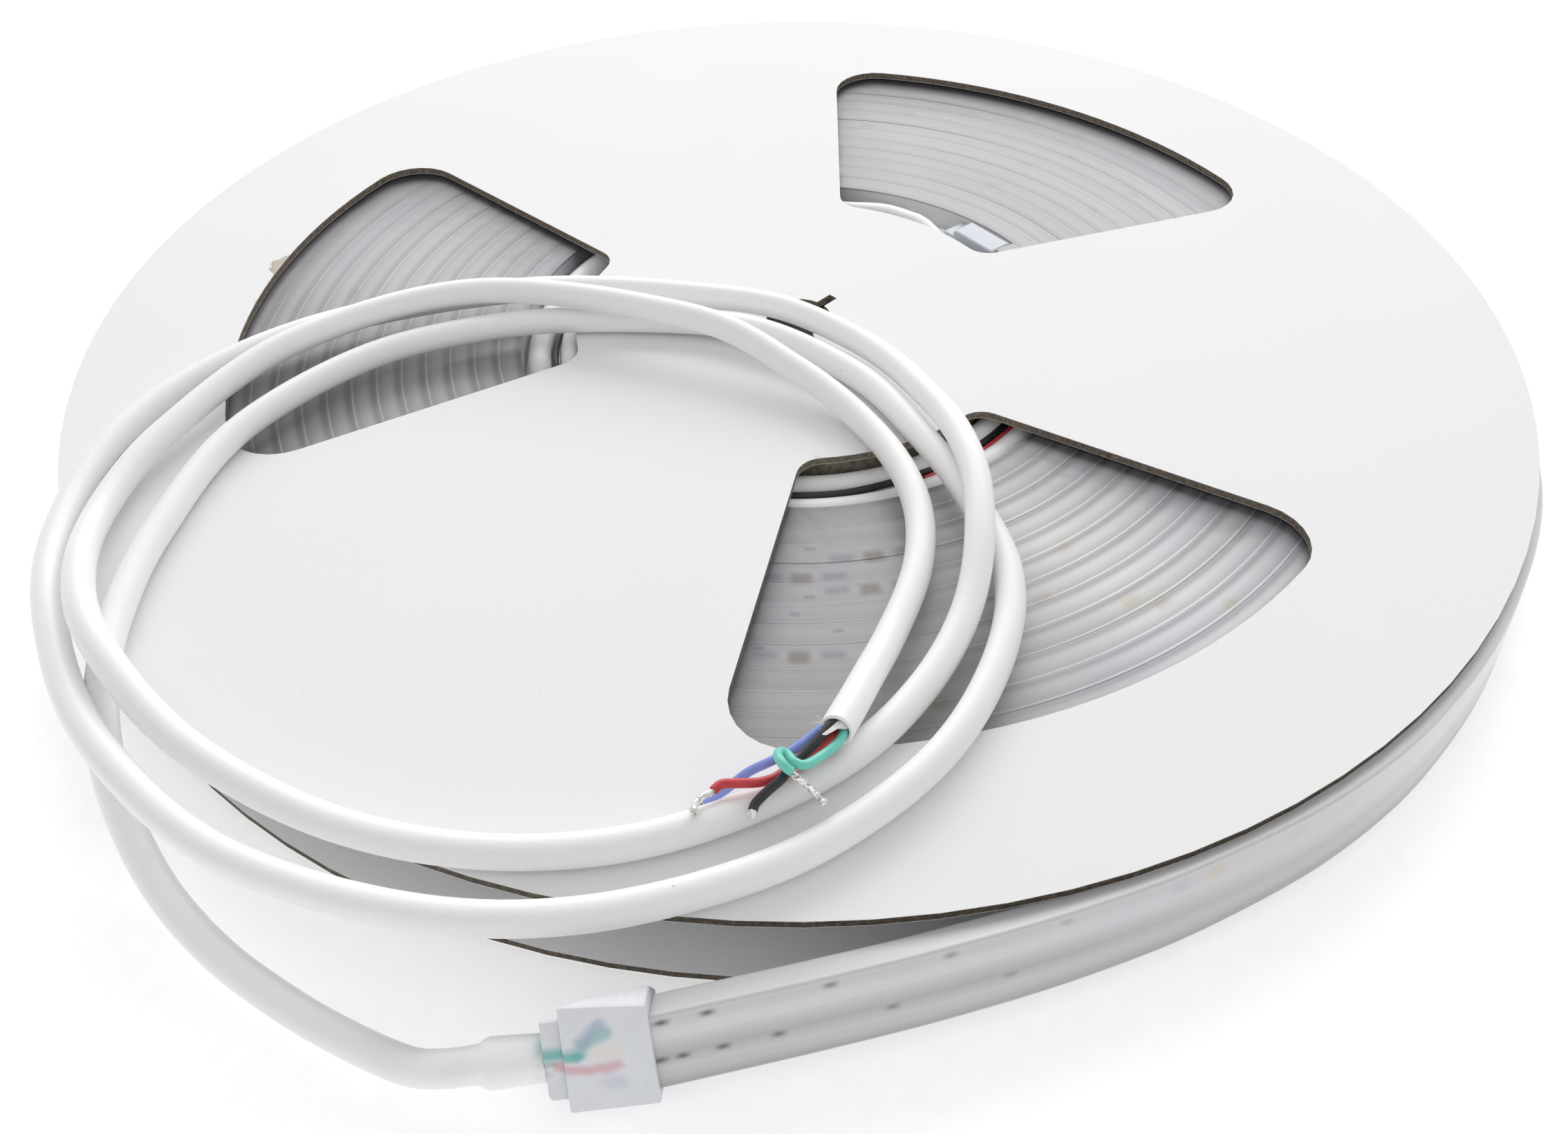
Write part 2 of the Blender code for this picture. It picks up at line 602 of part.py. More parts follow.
def inner_cable_points():
    """Four turns round the hub: out and in along the bottom, then the same pair on top."""
    low = BOARD + SEAT_GAP + CABLE_DIAMETER / 2.0
    high = low + CABLE_DIAMETER + SEAT_GAP
    middle, exit_radius = inner_cap_place()
    reach = CAP_LENGTH / 2.0 + NECK_LENGTH
    start = INNER_CAP_AZIMUTH + math.degrees(math.atan(reach / exit_radius)) + 1.0
    inward, upward, outward = LANE_CHANGES
    keys = (
        (start, math.hypot(exit_radius, reach), MIDDLE_Z), (start + INNER_CABLE_RUN_OUT, OUTER_LANE, low),
        (inward[0], OUTER_LANE, low), (inward[1], INNER_LANE, low), (upward[0], INNER_LANE, low),
        (upward[1], INNER_LANE, high), (outward[0], INNER_LANE, high), (outward[1], OUTER_LANE, high),
        (INNER_CABLE_END, OUTER_LANE, high),
    )
    points = []
    for index in range(INNER_CABLE_POINTS):
        azimuth = start + (INNER_CABLE_END - start) * index / (INNER_CABLE_POINTS - 1)
        key = max(k for k in range(len(keys) - 1) if keys[k][0] <= azimuth)
        before, after = keys[key:key + 2]
        share = (azimuth - before[0]) / (after[0] - before[0])
        share = share * share * (3.0 - 2.0 * share)
        place = polar(before[1] + (after[1] - before[1]) * share, azimuth)
        points.append(Vector((place.x, place.y, before[2] + (after[2] - before[2]) * share)))
    return points


def inner_wires(cable_z, finish_black, finish_red):
    """Ends of two cores tucked back into the groove between the upper turns."""
    groove = (INNER_LANE + OUTER_LANE) / 2.0
    aside = (WIRE_DIAMETER + SEAT_GAP) / 2.0

    def laid(shift, lift, azimuths):
        points = []
        for degrees in azimuths:
            place = polar(groove + shift, degrees)
            points.append(Vector((place.x, place.y, cable_z + lift)))
        return points

    black = laid(-aside, WIRE_LIFT_PAIR, BLACK_PAIR_AZIMUTHS)
    black += laid(0.0, WIRE_LIFT_SINGLE, BLACK_SINGLE_AZIMUTHS)
    red = laid(aside, WIRE_LIFT_PAIR, RED_PAIR_AZIMUTHS)
    tube("inner_wire_black", spline_points(black, BLACK_POINTS), WIRE_DIAMETER, finish_black)
    tube("inner_wire_red", spline_points(red, RED_POINTS), WIRE_DIAMETER, finish_red)


def scaled(points):
    return [Vector(point) * MM for point in points]


def lay_on_origin(cord_names):
    """Move the whole model so that the box of its own pieces stands centred on the origin."""
    frame = bpy.data.objects.new("reel_frame", None)
    bpy.context.scene.collection.objects.link(frame)
    bpy.context.view_layer.update()
    graph = bpy.context.evaluated_depsgraph_get()
    corners = []
    for item in bpy.data.objects:
        if item.type == "EMPTY" or item.hide_render or item.name in cord_names:
            continue
        made = item.evaluated_get(graph)
        shape = made.to_mesh()
        corners += [made.matrix_world @ vertex.co for vertex in shape.vertices]
        made.to_mesh_clear()
    for item in list(bpy.data.objects):
        if item is not frame:
            item.parent = frame
    centre_x = (min(c.x for c in corners) + max(c.x for c in corners)) / 2.0
    centre_y = (min(c.y for c in corners) + max(c.y for c in corners)) / 2.0
    frame.location = (-centre_x, -centre_y, 0.0)
    bpy.context.view_layer.update()


def build():
    clear_scene()
    board = material("white_board", (0.89, 0.89, 0.89), 0.75)
    core = material("grey_board", (0.42, 0.38, 0.31), 0.9)
    sleeve = material("frosted_silicone", (0.66, 0.67, 0.68), 0.45)
    circuit = material("circuit_white", (0.82, 0.82, 0.79), 0.5)
    clear = material("clear_silicone", (0.80, 0.82, 0.86), 0.4)
    rubber = material("white_silicone", (0.88, 0.88, 0.86), 0.5)
    tin = material("tinned_copper", (0.72, 0.71, 0.69), 0.3, 1.0)
    wire_colours = {
        "blue": material("wire_blue", (0.16, 0.22, 0.62), 0.4),
        "red": material("wire_red", (0.60, 0.03, 0.05), 0.4),
        "black": material("wire_black", (0.03, 0.03, 0.035), 0.4),
        "green": material("wire_green", (0.09, 0.60, 0.45), 0.4),
    }

    flange("bottom_flange", 0.0, board)
    flange("top_flange", REEL_HEIGHT - BOARD, board)
    hub_core(core)

    pack = winding(sleeve)
    line = tail_line()
    frames = tail_frames(line, CAP_POCKET - CAP_CLEARANCE)
    tail = tail_sleeve(frames, sleeve)
    add_boolean(pack, tail, "UNION")
    led_tape(frames[first_free_station(frames) + 1:], circuit)

    mouth = cap_mouth()
    end_cap("outer_end_cap", mouth, CAP_HEADING, CAP_LEAN, CAP_THICKNESS, CAP_HEIGHT, clear)
    cable_boot(mouth, CAP_HEADING, rubber)

    inner_place, _ = inner_cap_place()
    end_cap("inner_end_cap", inner_place, INNER_CAP_AZIMUTH + 90.0, 0.0,
            INNER_CAP_THICKNESS, INNER_CAP_HEIGHT, clear)
    points = inner_cable_points()
    tube("inner_cable", points, CABLE_DIAMETER, rubber)
    inner_wires(points[-1].z, wire_colours["black"], wire_colours["red"])

    cable = spline_points(scaled(CABLE_ROUTE), CABLE_POINTS)
    cable.insert(1, Vector(CABLE_ROUTE[1]) * MM)
    tube("supply_cable", cable, CABLE_DIAMETER, rubber)
    cord_names = ["supply_cable"]
    for colour, (route, tip) in WIRES.items():
        wire = tube("wire_" + colour, spline_points(scaled(route), WIRE_POINTS), WIRE_DIAMETER,
                    wire_colours[colour])
        end = tube("conductor_" + colour, spline_points(scaled(tip), TIP_POINTS), CONDUCTOR_DIAMETER, tin)
        cord_names += [wire.name, end.name]
    lay_on_origin(cord_names)


build()
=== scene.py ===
"""Looks of a reel of silicone sleeved LED strip light with its cable looped on top."""

import math
import random

import bmesh
import bpy
from mathutils import Matrix, Vector, noise
from mathutils.bvhtree import BVHTree


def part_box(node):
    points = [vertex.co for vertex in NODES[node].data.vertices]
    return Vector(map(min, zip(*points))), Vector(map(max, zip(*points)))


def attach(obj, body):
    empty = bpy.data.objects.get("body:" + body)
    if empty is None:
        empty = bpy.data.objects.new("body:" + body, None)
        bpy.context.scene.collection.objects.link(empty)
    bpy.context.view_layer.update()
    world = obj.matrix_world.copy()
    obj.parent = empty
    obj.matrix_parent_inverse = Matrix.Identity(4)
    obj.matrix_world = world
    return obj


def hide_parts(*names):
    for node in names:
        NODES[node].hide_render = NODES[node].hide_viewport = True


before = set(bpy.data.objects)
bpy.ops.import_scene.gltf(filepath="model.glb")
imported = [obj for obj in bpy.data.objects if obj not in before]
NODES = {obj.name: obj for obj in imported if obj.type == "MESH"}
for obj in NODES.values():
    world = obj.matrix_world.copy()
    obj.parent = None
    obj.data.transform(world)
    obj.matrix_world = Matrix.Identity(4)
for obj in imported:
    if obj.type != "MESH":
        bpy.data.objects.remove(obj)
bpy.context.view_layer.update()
MM = 0.001
UP = Vector((0.0, 0.0, 1.0))
SPLINE_STEPS = 24

# Places and sizes that come from the frame
FLANGE_LOW, FLANGE_HIGH = (Vector(corner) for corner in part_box("top_flange"))
PACK_LOW = Vector(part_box("strip_sleeve")[0])
AXIS = Vector(((FLANGE_LOW.x + FLANGE_HIGH.x) / 2.0, (FLANGE_LOW.y + FLANGE_HIGH.y) / 2.0, 0.0))
REEL_TOP = FLANGE_HIGH.z
BOARD = FLANGE_HIGH.z - FLANGE_LOW.z
MIDDLE_Z = REEL_TOP / 2.0
PACK_OUTER = AXIS.x - PACK_LOW.x

# Strip. Azimuths are degrees round the reel's axis, from +X towards +Y
SLEEVE_HEIGHT = 12.0 * MM
SLEEVE_THICKNESS = 4.5 * MM
SLEEVE_CORNER = 0.45 * MM
SLEEVE_CROWN = 0.02 * MM
SLEEVE_PLAY = 0.1 * MM
WOUND_CORNER = 0.05 * MM
TURN_LAP = 0.08 * MM
PITCH = 4.7 * MM
TURNS = 16
STEP_START = 24.0  # each turn steps outwards by a pitch between these azimuths
STEP_END = -32.0
COIL_DEGREES = 1.5  # from one station to the next
COIL_SHORT = 12.0  # degrees left between the last wound station and the loose end
# Painted light: the inner wall of the innermost turn is painted lighter by this factor, for the light that
# reaches it in the hub
INNERMOST_STATIONS = 260  # the turn whose inner wall the light in the hub reaches
INNER_WALL_PAINTED_LIGHT = 1.75
INNER_MOUTH_AZIMUTH = 33.0
TAIL_AZIMUTH = 78.0

# The loose end: azimuth, and how far outside the pack in millimetres
TAIL_ROUTE = (
    (78.0, -2.0), (60.0, -1.3), (40.0, 0.7), (20.0, 3.4), (0.0, 5.9), (-20.0, 7.8), (-35.0, 8.8),
    (-47.0, 9.8), (-57.0, 10.4), (-67.0, 10.8), (-75.0, 11.9), (-82.5, 14.0), (-89.0, 17.1),
    (-94.0, 20.6),
)
TAIL_STATIONS = 170
LOOSENING_STATIONS = 8.0  # in which the wound section turns into the loose one
LOOSE_LENGTH = 0.36  # from the cap, over which the top is seen lighter
CAP_MOUTH_AZIMUTH = -97.07
CAP_MOUTH_REACH = 23.4 * MM
CAP_HEADING = 186.5
CAP_LEAN = 20.5
LEAN_FROM = -20.0  # the strip leans more and more between these azimuths
LEAN_FULL = -85.0
CAP_LIFT = 0.8 * MM

# The strip's tones: heights under the top where its crown starts, and distances from the cap between
# which its side goes from the near tones to the far ones and its pads fade
CROWN_BAND = (0.55 * MM, 0.25 * MM)
SIDE_CHANGE = (45.0 * MM, 95.0 * MM)
PADS_FADE = (75.0 * MM, 4.0 * MM)

# Boards: the two liners' thicknesses, and the radii between which the windows' cut edge ends
# and the darker one of the rim begins
LINERS = (0.11 * MM, 0.09 * MM)
RIM_FROM = (118.0 * MM, 132.0 * MM)

# End cap: its outer size, the slanted mouth, the raised top and the pocket that holds the strip
CAP_LENGTH = 12.0 * MM
CAP_HEIGHT = 15.0 * MM
CAP_THICKNESS = 7.0 * MM
CAP_END = 11.6 * MM
CAP_SHIFT = 0.45 * MM
CAP_TOP = 0.85 * MM
CAP_RISE = 1.0 * MM
CAP_CHAMFER = 2.6 * MM
CAP_ROUNDING = 0.22 * MM
CAP_RIBS = (3.7 * MM, 2.3 * MM)
MOUTH_SLANT = 9.0
MOUTH_TILT = 0.75 * MM
CAP_POCKET = 3.4 * MM
POCKET_GAP = 0.3 * MM
POCKET_THICKNESS = 4.7 * MM
POCKET_HEIGHT = 12.2 * MM
NECK_LENGTH = 2.8 * MM
NECK_REACH = 2.5 * MM
NECK_HEIGHT = 11.4 * MM
NECK_THICKNESS = 5.8 * MM

# Boot
BOOT_DROP = 1.0 * MM
BOOT_SHORT = 0.9 * MM
BOOT_CONE = 1.8 * MM
BOOT_RADII = (3.05 * MM, 3.35 * MM)
BOOT_LIP = 0.35 * MM
BOOT_NUB = 0.38 * MM
BOOT_SIDES = 40

# Cables
CABLE_DIAMETER = 5.0 * MM
CABLE_BORE = 1.85 * MM
CABLE_BORE_DEPTH = 5.0 * MM
CABLE_WOBBLE = 0.03 * MM
CABLE_STATIONS = 520
JACKET_REACH = 2.9 * MM
END_SWING = 0.6 * MM
END_SWING_LENGTH = 16.0 * MM
SPINDLE_HUMP = (-2.0, -2.0, 0.0)
SPINDLE_LIFT = 1.2 * MM
SPINDLE_HUMP_REACH = 14.0 * MM
WIRE_DIAMETER = 1.4 * MM
CONDUCTOR_DIAMETER = 0.9 * MM
STRANDS = 5
STRAND_SHARE = 0.62

# Supply cable from the boot to the stripped end, in millimetres from the reel's axis
CABLE_ROUTE = (
    (-42.5, -155.8, 7.8), (-45.5, -156.0, 7.5), (-51.4, -154.3, 4.9), (-61.1, -149.3, 2.9),
    (-70.6, -143.9, 2.6), (-81.6, -136.4, 2.8), (-91.4, -127.6, 5.0), (-98.4, -118.4, 9.6),
    (-102.6, -109.8, 14.2), (-105.4, -99.6, 17.9), (-107.7, -85.0, 18.6), (-107.4, -65.0, 18.3),
    (-101.3, -38.8, 18.3), (-83.5, -17.2, 18.3), (-62.4, -7.3, 18.3), (-39.7, -4.4, 18.3),
    (-12.3, -7.7, 18.3), (10.1, -22.6, 18.3), (22.7, -43.2, 18.3), (30.3, -61.9, 18.3),
    (33.6, -77.2, 18.3), (31.1, -93.0, 18.3), (23.0, -110.0, 18.3), (11.0, -123.2, 18.3),
    (-5.9, -133.9, 18.3), (-29.8, -140.3, 18.0), (-54.0, -138.9, 17.8), (-80.2, -129.8, 18.6),
    (-100.8, -112.9, 20.6), (-115.0, -91.5, 19.6), (-123.7, -68.2, 18.3), (-123.1, -42.0, 18.3),
    (-110.4, -19.1, 18.3), (-86.6, -2.4, 18.3), (-51.1, 6.7, 18.3), (-14.7, 2.3, 18.3),
    (10.9, -13.3, 19.2), (23.9, -34.6, 21.4), (29.0, -53.3, 23.6), (29.3, -70.4, 22.9),
    (26.2, -85.7, 19.5), (18.5, -101.0, 18.3), (6.6, -114.6, 18.3), (-10.7, -124.9, 18.3),
    (-28.4, -130.0, 18.3), (-48.2, -129.8, 18.3), (-68.3, -124.2, 18.7), (-88.7, -112.9, 20.8),
    (-103.9, -98.2, 24.2), (-113.0, -82.7, 23.2), (-117.8, -62.5, 19.6), (-113.2, -40.8, 19.8),
    (-96.0, -14.9, 21.2), (-62.7, -1.2, 23.0), (-21.8, -11.3, 23.8), (-0.9, -24.2, 20.7),
    (12.7, -39.6, 18.5), (19.4, -56.9, 18.3), (19.3, -74.0, 18.3), (13.4, -92.3, 18.9),
    (5.4, -111.3, 23.0),
)

# Stripped wires, each from the cable's end to its tinned tip, in millimetres
WIRES = {
    "blue": (
        ((4.2, -111.4, 23.1), (3.5, -112.8, 23.5), (0.3, -115.5, 22.8), (-1.9, -116.9, 22.2),
         (-4.6, -117.8, 21.3), (-7.6, -118.4, 19.8), (-10.5, -119.9, 18.2), (-13.0, -121.2, 17.2),
         (-13.8, -121.7, 17.0)),
        ((-14.1, -121.9, 16.9), (-14.7, -122.3, 16.7)),
    ),
    "red": (
        ((5.1, -112.0, 22.0), (4.5, -113.5, 22.3), (2.9, -114.9, 21.8), (0.8, -116.9, 21.6),
         (-1.6, -118.9, 21.6), (-3.7, -120.9, 21.8), (-6.1, -121.9, 22.0), (-8.9, -122.0, 22.0),
         (-11.1, -122.0, 21.8), (-12.2, -123.0, 21.7)),
        ((-12.5, -123.3, 21.6), (-13.6, -123.9, 21.6), (-14.6, -125.3, 21.7), (-14.8, -126.7, 21.8)),
    ),
    "black": (
        ((5.3, -111.6, 24.2), (4.6, -113.1, 24.6), (2.0, -116.4, 24.0), (0.1, -118.4, 23.5),
         (-1.6, -120.1, 23.3), (-2.7, -122.1, 23.2), (-4.5, -123.6, 22.6), (-6.3, -125.3, 21.9),
         (-6.7, -126.3, 21.6)),
        ((-6.8, -126.6, 21.4), (-7.0, -127.1, 21.1)),
    ),
    "green": (
        ((6.2, -112.2, 23.1), (6.0, -113.9, 23.3), (5.0, -116.2, 23.4), (3.1, -118.3, 23.6),
         (0.6, -120.9, 24.6), (-1.0, -120.7, 24.9), (-2.0, -119.2, 24.7), (-2.8, -118.8, 24.9),
         (-3.3, -119.7, 25.4), (-3.0, -121.1, 25.9), (-2.3, -122.2, 25.8), (-1.5, -122.3, 25.0)),
        ((-1.2, -122.4, 24.5), (0.2, -122.9, 23.2), (1.6, -124.0, 22.5), (3.1, -125.5, 21.9)),
    ),
}

# Lamps and chips that show through the strip in the windows: radius in millimetres and azimuth
LAMPS = ((73.3, -89.9), (69.2, -79.7), (76.7, -81.4), (91.0, -90.2))
CHIP_STEP = 5.5  # from a lamp to the chips on its two sides
PADS = ((66.3, -88.6), (77.7, -88.9), (81.6, -90.7), (85.6, -86.0), (89.2, -94.3))
FAINT_LAMPS = (
    (80.2, -56.0), (87.9, -63.3), (95.7, -55.8), (99.1, -53.5), (106.1, -48.8), (103.1, -78.1),
    (93.3, 172.5), (106.9, 160.6), (66.3, 157.3), (94.9, 73.1), (98.1, 70.0), (85.8, 78.6),
    (93.8, 46.3), (84.0, 50.6), (106.6, 40.7), (71.0, 50.9), (91.6, 33.6), (79.5, 33.5),
)

# Painted light round the reel: how much lighter or darker the wound turns are painted at each azimuth, and
# how strongly the painted stripes of shade and highlight across each turn show
TURN_PAINTED_LIGHT = (
    (-180.0, 0.76, 0.75), (-140.0, 0.74, 0.80), (-100.0, 1.00, 0.16), (-78.0, 0.96, 0.18),
    (-66.0, 1.20, 0.60), (-55.0, 1.42, 0.85), (-20.0, 1.46, 0.85), (20.0, 1.02, 0.35),
    (60.0, 0.94, 0.20), (90.0, 0.92, 0.20), (140.0, 0.94, 0.40), (168.0, 0.93, 0.50),
    (180.0, 0.76, 0.75),
)

# Painted light round the reel: how much lighter the loose end is painted at each azimuth
TAIL_PAINTED_LIGHT = (
    (-180.0, 1.00), (-60.0, 1.02), (-45.0, 1.14), (-35.0, 1.28), (-25.0, 1.42), (-10.0, 1.50),
    (180.0, 1.50),
)

# Coloured cores seen blurred inside the cap: colour, strength, half width and the places that each
# runs through, along from the cap's mouth and up, in millimetres
CORES_INSIDE = (
    ((0.10, 0.50, 0.46), 0.80, 1.0, ((14.4, 2.2), (9.9, 2.1))),
    ((0.14, 0.46, 0.47), 0.55, 1.0, ((9.9, 2.1), (8.2, 4.0), (6.1, 5.5))),
    ((0.22, 0.36, 0.50), 0.48, 1.0, ((9.2, 4.2), (6.8, 6.8))),
    ((0.70, 0.22, 0.27), 0.50, 0.9, ((12.2, 0.2), (9.0, -0.5), (5.0, 0.0))),
    ((0.36, 0.40, 0.60), 0.25, 1.3, ((6.2, -2.4), (5.0, -2.6))),
    ((0.92, 0.82, 0.66), 0.35, 1.6, ((7.2, 2.5), (5.2, 2.0))),
    ((0.16, 0.17, 0.20), 0.35, 0.5, ((14.9, 0.8), (12.8, 0.7))),
    ((0.62, 0.25, 0.30), 0.28, 0.7, ((15.2, -0.9), (13.9, -1.0))),
)

# Torn edges. Tufts of fibres: radius in millimetres, azimuth, length in millimetres and number
FIBRE_RADIUS = 0.035 * MM
EDGE_TUFTS = (
    (111.1, 176.6, 1.1, 7), (111.0, 172.8, 0.9, 5), (44.5, -85.9, 0.9, 5),
    (44.4, -74.6, 1.1, 6), (139.9, -71.5, 0.9, 4), (110.9, 165.0, 0.6, 3),
)
SCRAP_RADIUS = 111.1 * MM
SCRAP_AZIMUTH = 167.4
SCRAP_SPAN = 3.9
SCRAP_ROWS = 8
SCRAP_THICKNESS = 0.10 * MM

# Torn filler and its fibres at the cable's end, in millimetres from the reel's axis
CABLE_TUFT = (3.3, -113.6, 24.4)
CABLE_FIBRES = (2.0 * MM, 16)  # their length and number
FILLER_THICKNESS = 0.12 * MM
FILLER_ROWS = (
    ((7.1, -112.2, 24.0), (6.2, -112.0, 24.6), (5.4, -112.1, 24.8)),
    ((7.0, -114.0, 24.1), (5.9, -113.7, 25.0), (4.9, -113.7, 25.0)),
    ((6.2, -114.5, 24.4), (5.1, -114.9, 25.1), (4.2, -114.6, 25.1)),
    ((5.0, -114.8, 24.8), (4.4, -115.4, 25.0), (3.5, -115.2, 25.0)),
    ((4.2, -115.2, 24.7), (3.4, -115.9, 24.8), (2.7, -115.8, 24.8)),
)

# Parts of the circuit seen through the loose end's side, in millimetres: rows of pads with their
# height and places from the cap, and patches with height, place, length, colour and strength
PAD_ROWS = ((4.7, (0.9, 6.8, 23.0, 39.4, 56.0)), (-1.2, (0.3, 3.0, 8.3, 15.6, 31.0, 47.5)))
TAIL_PATCHES = (
    (3.9, 79.0, 3.4, (0.66, 0.58, 0.47), 0.55), (3.9, 73.5, 2.6, (0.52, 0.52, 0.56), 0.40),
    (3.9, 93.5, 3.0, (0.56, 0.56, 0.60), 0.30), (3.9, 104.0, 3.2, (0.66, 0.58, 0.47), 0.25),
)

# Directions in which the light from behind is looked for under the board, for the painted shade under its
# edges
REACH_LENGTH = 0.06
REACH_AZIMUTHS = (55.0, 90.0, 125.0)
REACH_HEIGHTS = (4.3, 5.5, 7.5, 11.0, 17.0, 30.0)

# Camera and studio light
CAMERA_PLACE = (0.0, -246.1, 182.75)
CAMERA_FORWARD = (0.00285, 0.72036, -0.69359)
CAMERA_RIGHT = (0.99997, -0.00687, -0.00303)
CAMERA_UP = (0.00694, 0.69357, 0.72036)
CAMERA_LENS = 33.47
CAMERA_SHIFT = -0.0132
FLOOR_SIZE = 4.0
WORLD_LIGHT = 0.66
FLOOR_GLOW = 0.35
WINDOW_LIGHT_PLACE = (0.15, 2.2, 1.3)
WINDOW_LIGHT_SIZE = (2.6, 1.5)
WINDOW_LIGHT_POWER = 46.0

# Inner cable, four turns round the hub, and the cores tucked between its upper turns
INNER_LANE = 46.0 * MM
OUTER_LANE = 52.3 * MM
LANE_LOW = 4.3 * MM
LANE_HIGH = 9.6 * MM
INNER_CABLE_END = 1424.0
INNER_CAP_AZIMUTH = 39.5
WIRE_LIFT_PAIR = 0.9 * MM
WIRE_LIFT_SINGLE = 1.2 * MM


def heading_vector(degrees):
    angle = math.radians(degrees)
    return Vector((math.cos(angle), math.sin(angle), 0.0))


def polar(radius, degrees, z=0.0):
    """A point round the reel's axis."""
    return AXIS + heading_vector(degrees) * radius + UP * z


def from_axis(points):
    """Points in millimetres from the reel's axis, in metres in the frame."""
    return [AXIS + Vector(point) * MM for point in points]


def smoothstep(share):
    share = min(1.0, max(0.0, share))
    return share * share * (3.0 - 2.0 * share)


def spline_points(route, count):
    """Evenly spaced points on a smooth curve through the route."""
    knots = [Vector(point) for point in route]
    knots.insert(0, knots[0] * 2.0 - knots[1])
    knots.append(knots[-1] * 2.0 - knots[-2])
    dense = []
    for index in range(1, len(knots) - 2):
        before, here, there, after = knots[index - 1:index + 3]
        for step in range(SPLINE_STEPS):
            t = step / SPLINE_STEPS
            dense.append(
                (here * 2.0 + (there - before) * t
                 + (before * 2.0 - here * 5.0 + there * 4.0 - after) * t ** 2
                 + (here * 3.0 - before - there * 3.0 + after) * t ** 3) * 0.5
            )
    dense.append(knots[-2])
    lengths = distances(dense)
    points = []
    index = 0
    for step in range(count):
        wanted = lengths[-1] * step / (count - 1)
        while index < len(dense) - 2 and lengths[index + 1] < wanted:
            index += 1
        span = lengths[index + 1] - lengths[index]
        points.append(dense[index].lerp(dense[index + 1], (wanted - lengths[index]) / span))
    return points


def distances(points):
    """Length along the points up to each of them."""
    lengths = [0.0]
    for first, second in zip(points, points[1:]):
        lengths.append(lengths[-1] + (second - first).length)
    return lengths


# Node helpers


def new_material(name):
    made = bpy.data.materials.new(name)
    made.use_nodes = True
    return made, made.node_tree, made.node_tree.nodes["Principled BSDF"]


def add_node(tree, kind, inputs=None, **settings):
    made = tree.nodes.new(kind)
    for key, value in settings.items():
        setattr(made, key, value)
    for key, value in (inputs or {}).items():
        if isinstance(value, bpy.types.NodeSocket):
            tree.links.new(value, made.inputs[key])
        else:
            made.inputs[key].default_value = value
    return made


def maths(tree, operation, first, second=0.0):
    return add_node(tree, "ShaderNodeMath", {0: first, 1: second}, operation=operation).outputs[0]


def times(tree, *values):
    """All the values multiplied together."""
    total = values[0]
    for value in values[1:]:
        total = maths(tree, "MULTIPLY", total, value)
    return total


def vectors(tree, operation, first, second=(0.0, 0.0, 0.0), result="Vector"):
    made = add_node(tree, "ShaderNodeVectorMath", {0: first, 1: second}, operation=operation)
    return made.outputs[result]


def split(tree, vector):
    """The X, Y and Z of a vector."""
    return add_node(tree, "ShaderNodeSeparateXYZ", {"Vector": vector}).outputs


def attribute(tree, name):
    """Three numbers that the mesh keeps at each of its vertices."""
    return add_node(tree, "ShaderNodeAttribute", attribute_name=name).outputs["Vector"]


def map_range(tree, value, low, high, to_low=0.0, to_high=1.0, kind="LINEAR"):
    return add_node(tree, "ShaderNodeMapRange", {
        "Value": value, "From Min": low, "From Max": high, "To Min": to_low, "To Max": to_high,
    }, interpolation_type=kind).outputs["Result"]


def ramp(tree, value, stops, interpolation="EASE"):
    """Greys or colours at places from 0 to 1."""
    made = add_node(tree, "ShaderNodeValToRGB", {"Fac": value})
    made.color_ramp.interpolation = interpolation
    elements = made.color_ramp.elements
    while len(elements) > 1:
        elements.remove(elements[-1])
    for index, (place, tone) in enumerate(stops):
        element = elements[0] if index == 0 else elements.new(place)
        element.position = place
        element.color = (*tone, 1.0) if isinstance(tone, tuple) else (tone, tone, tone, 1.0)
    return made.outputs["Color"]


def soft_band(tree, value, centre, half, blur):
    """1 within half of the centre, falling to 0 over the blur."""
    away = maths(tree, "ABSOLUTE", maths(tree, "SUBTRACT", value, centre))
    return map_range(tree, away, half + blur, max(half - blur, 0.0), kind="SMOOTHSTEP")


def mix(tree, factor, first, second, blend="MIX"):
    made = add_node(tree, "ShaderNodeMix", {"Factor": factor}, data_type="RGBA", blend_type=blend)
    for key, value in ((6, first), (7, second)):
        if isinstance(value, bpy.types.NodeSocket):
            tree.links.new(value, made.inputs[key])
        else:
            made.inputs[key].default_value = (*value, 1.0)
    return made.outputs[2]


def tinted(tree, tone, colour):
    return mix(tree, 1.0, tone, colour, "MULTIPLY")


def object_place(tree):
    return add_node(tree, "ShaderNodeTexCoord").outputs["Object"]


def place_from_axis(tree):
    """The place seen from the reel's axis, without its height."""
    away = vectors(tree, "SUBTRACT", object_place(tree), tuple(AXIS))
    return vectors(tree, "MULTIPLY", away, (1.0, 1.0, 0.0))


def noise_value(tree, scale, detail=2.0):
    return add_node(tree, "ShaderNodeTexNoise", {
        "Vector": object_place(tree), "Scale": scale, "Detail": detail}).outputs["Fac"]


def stretched_noise(tree, vector, scales, detail):
    """Noise with its own scale along each axis."""
    return add_node(tree, "ShaderNodeTexNoise", {
        "Vector": vectors(tree, "MULTIPLY", vector, scales), "Scale": 1.0, "Detail": detail,
    }).outputs["Fac"]


def dots(tree, scale, size, chosen_above=0.82):
    """Small round specks: 1 on a speck, 0 elsewhere."""
    cells = add_node(tree, "ShaderNodeTexVoronoi", {"Vector": object_place(tree), "Scale": scale})
    chance = add_node(tree, "ShaderNodeSeparateColor", {0: cells.outputs["Color"]}).outputs[0]
    return times(tree, maths(tree, "LESS_THAN", cells.outputs["Distance"], size),
                 maths(tree, "GREATER_THAN", chance, chosen_above))


def specked(tree, tone, scale, size, strength, colour):
    return mix(tree, times(tree, dots(tree, scale, size), strength), tone, colour)


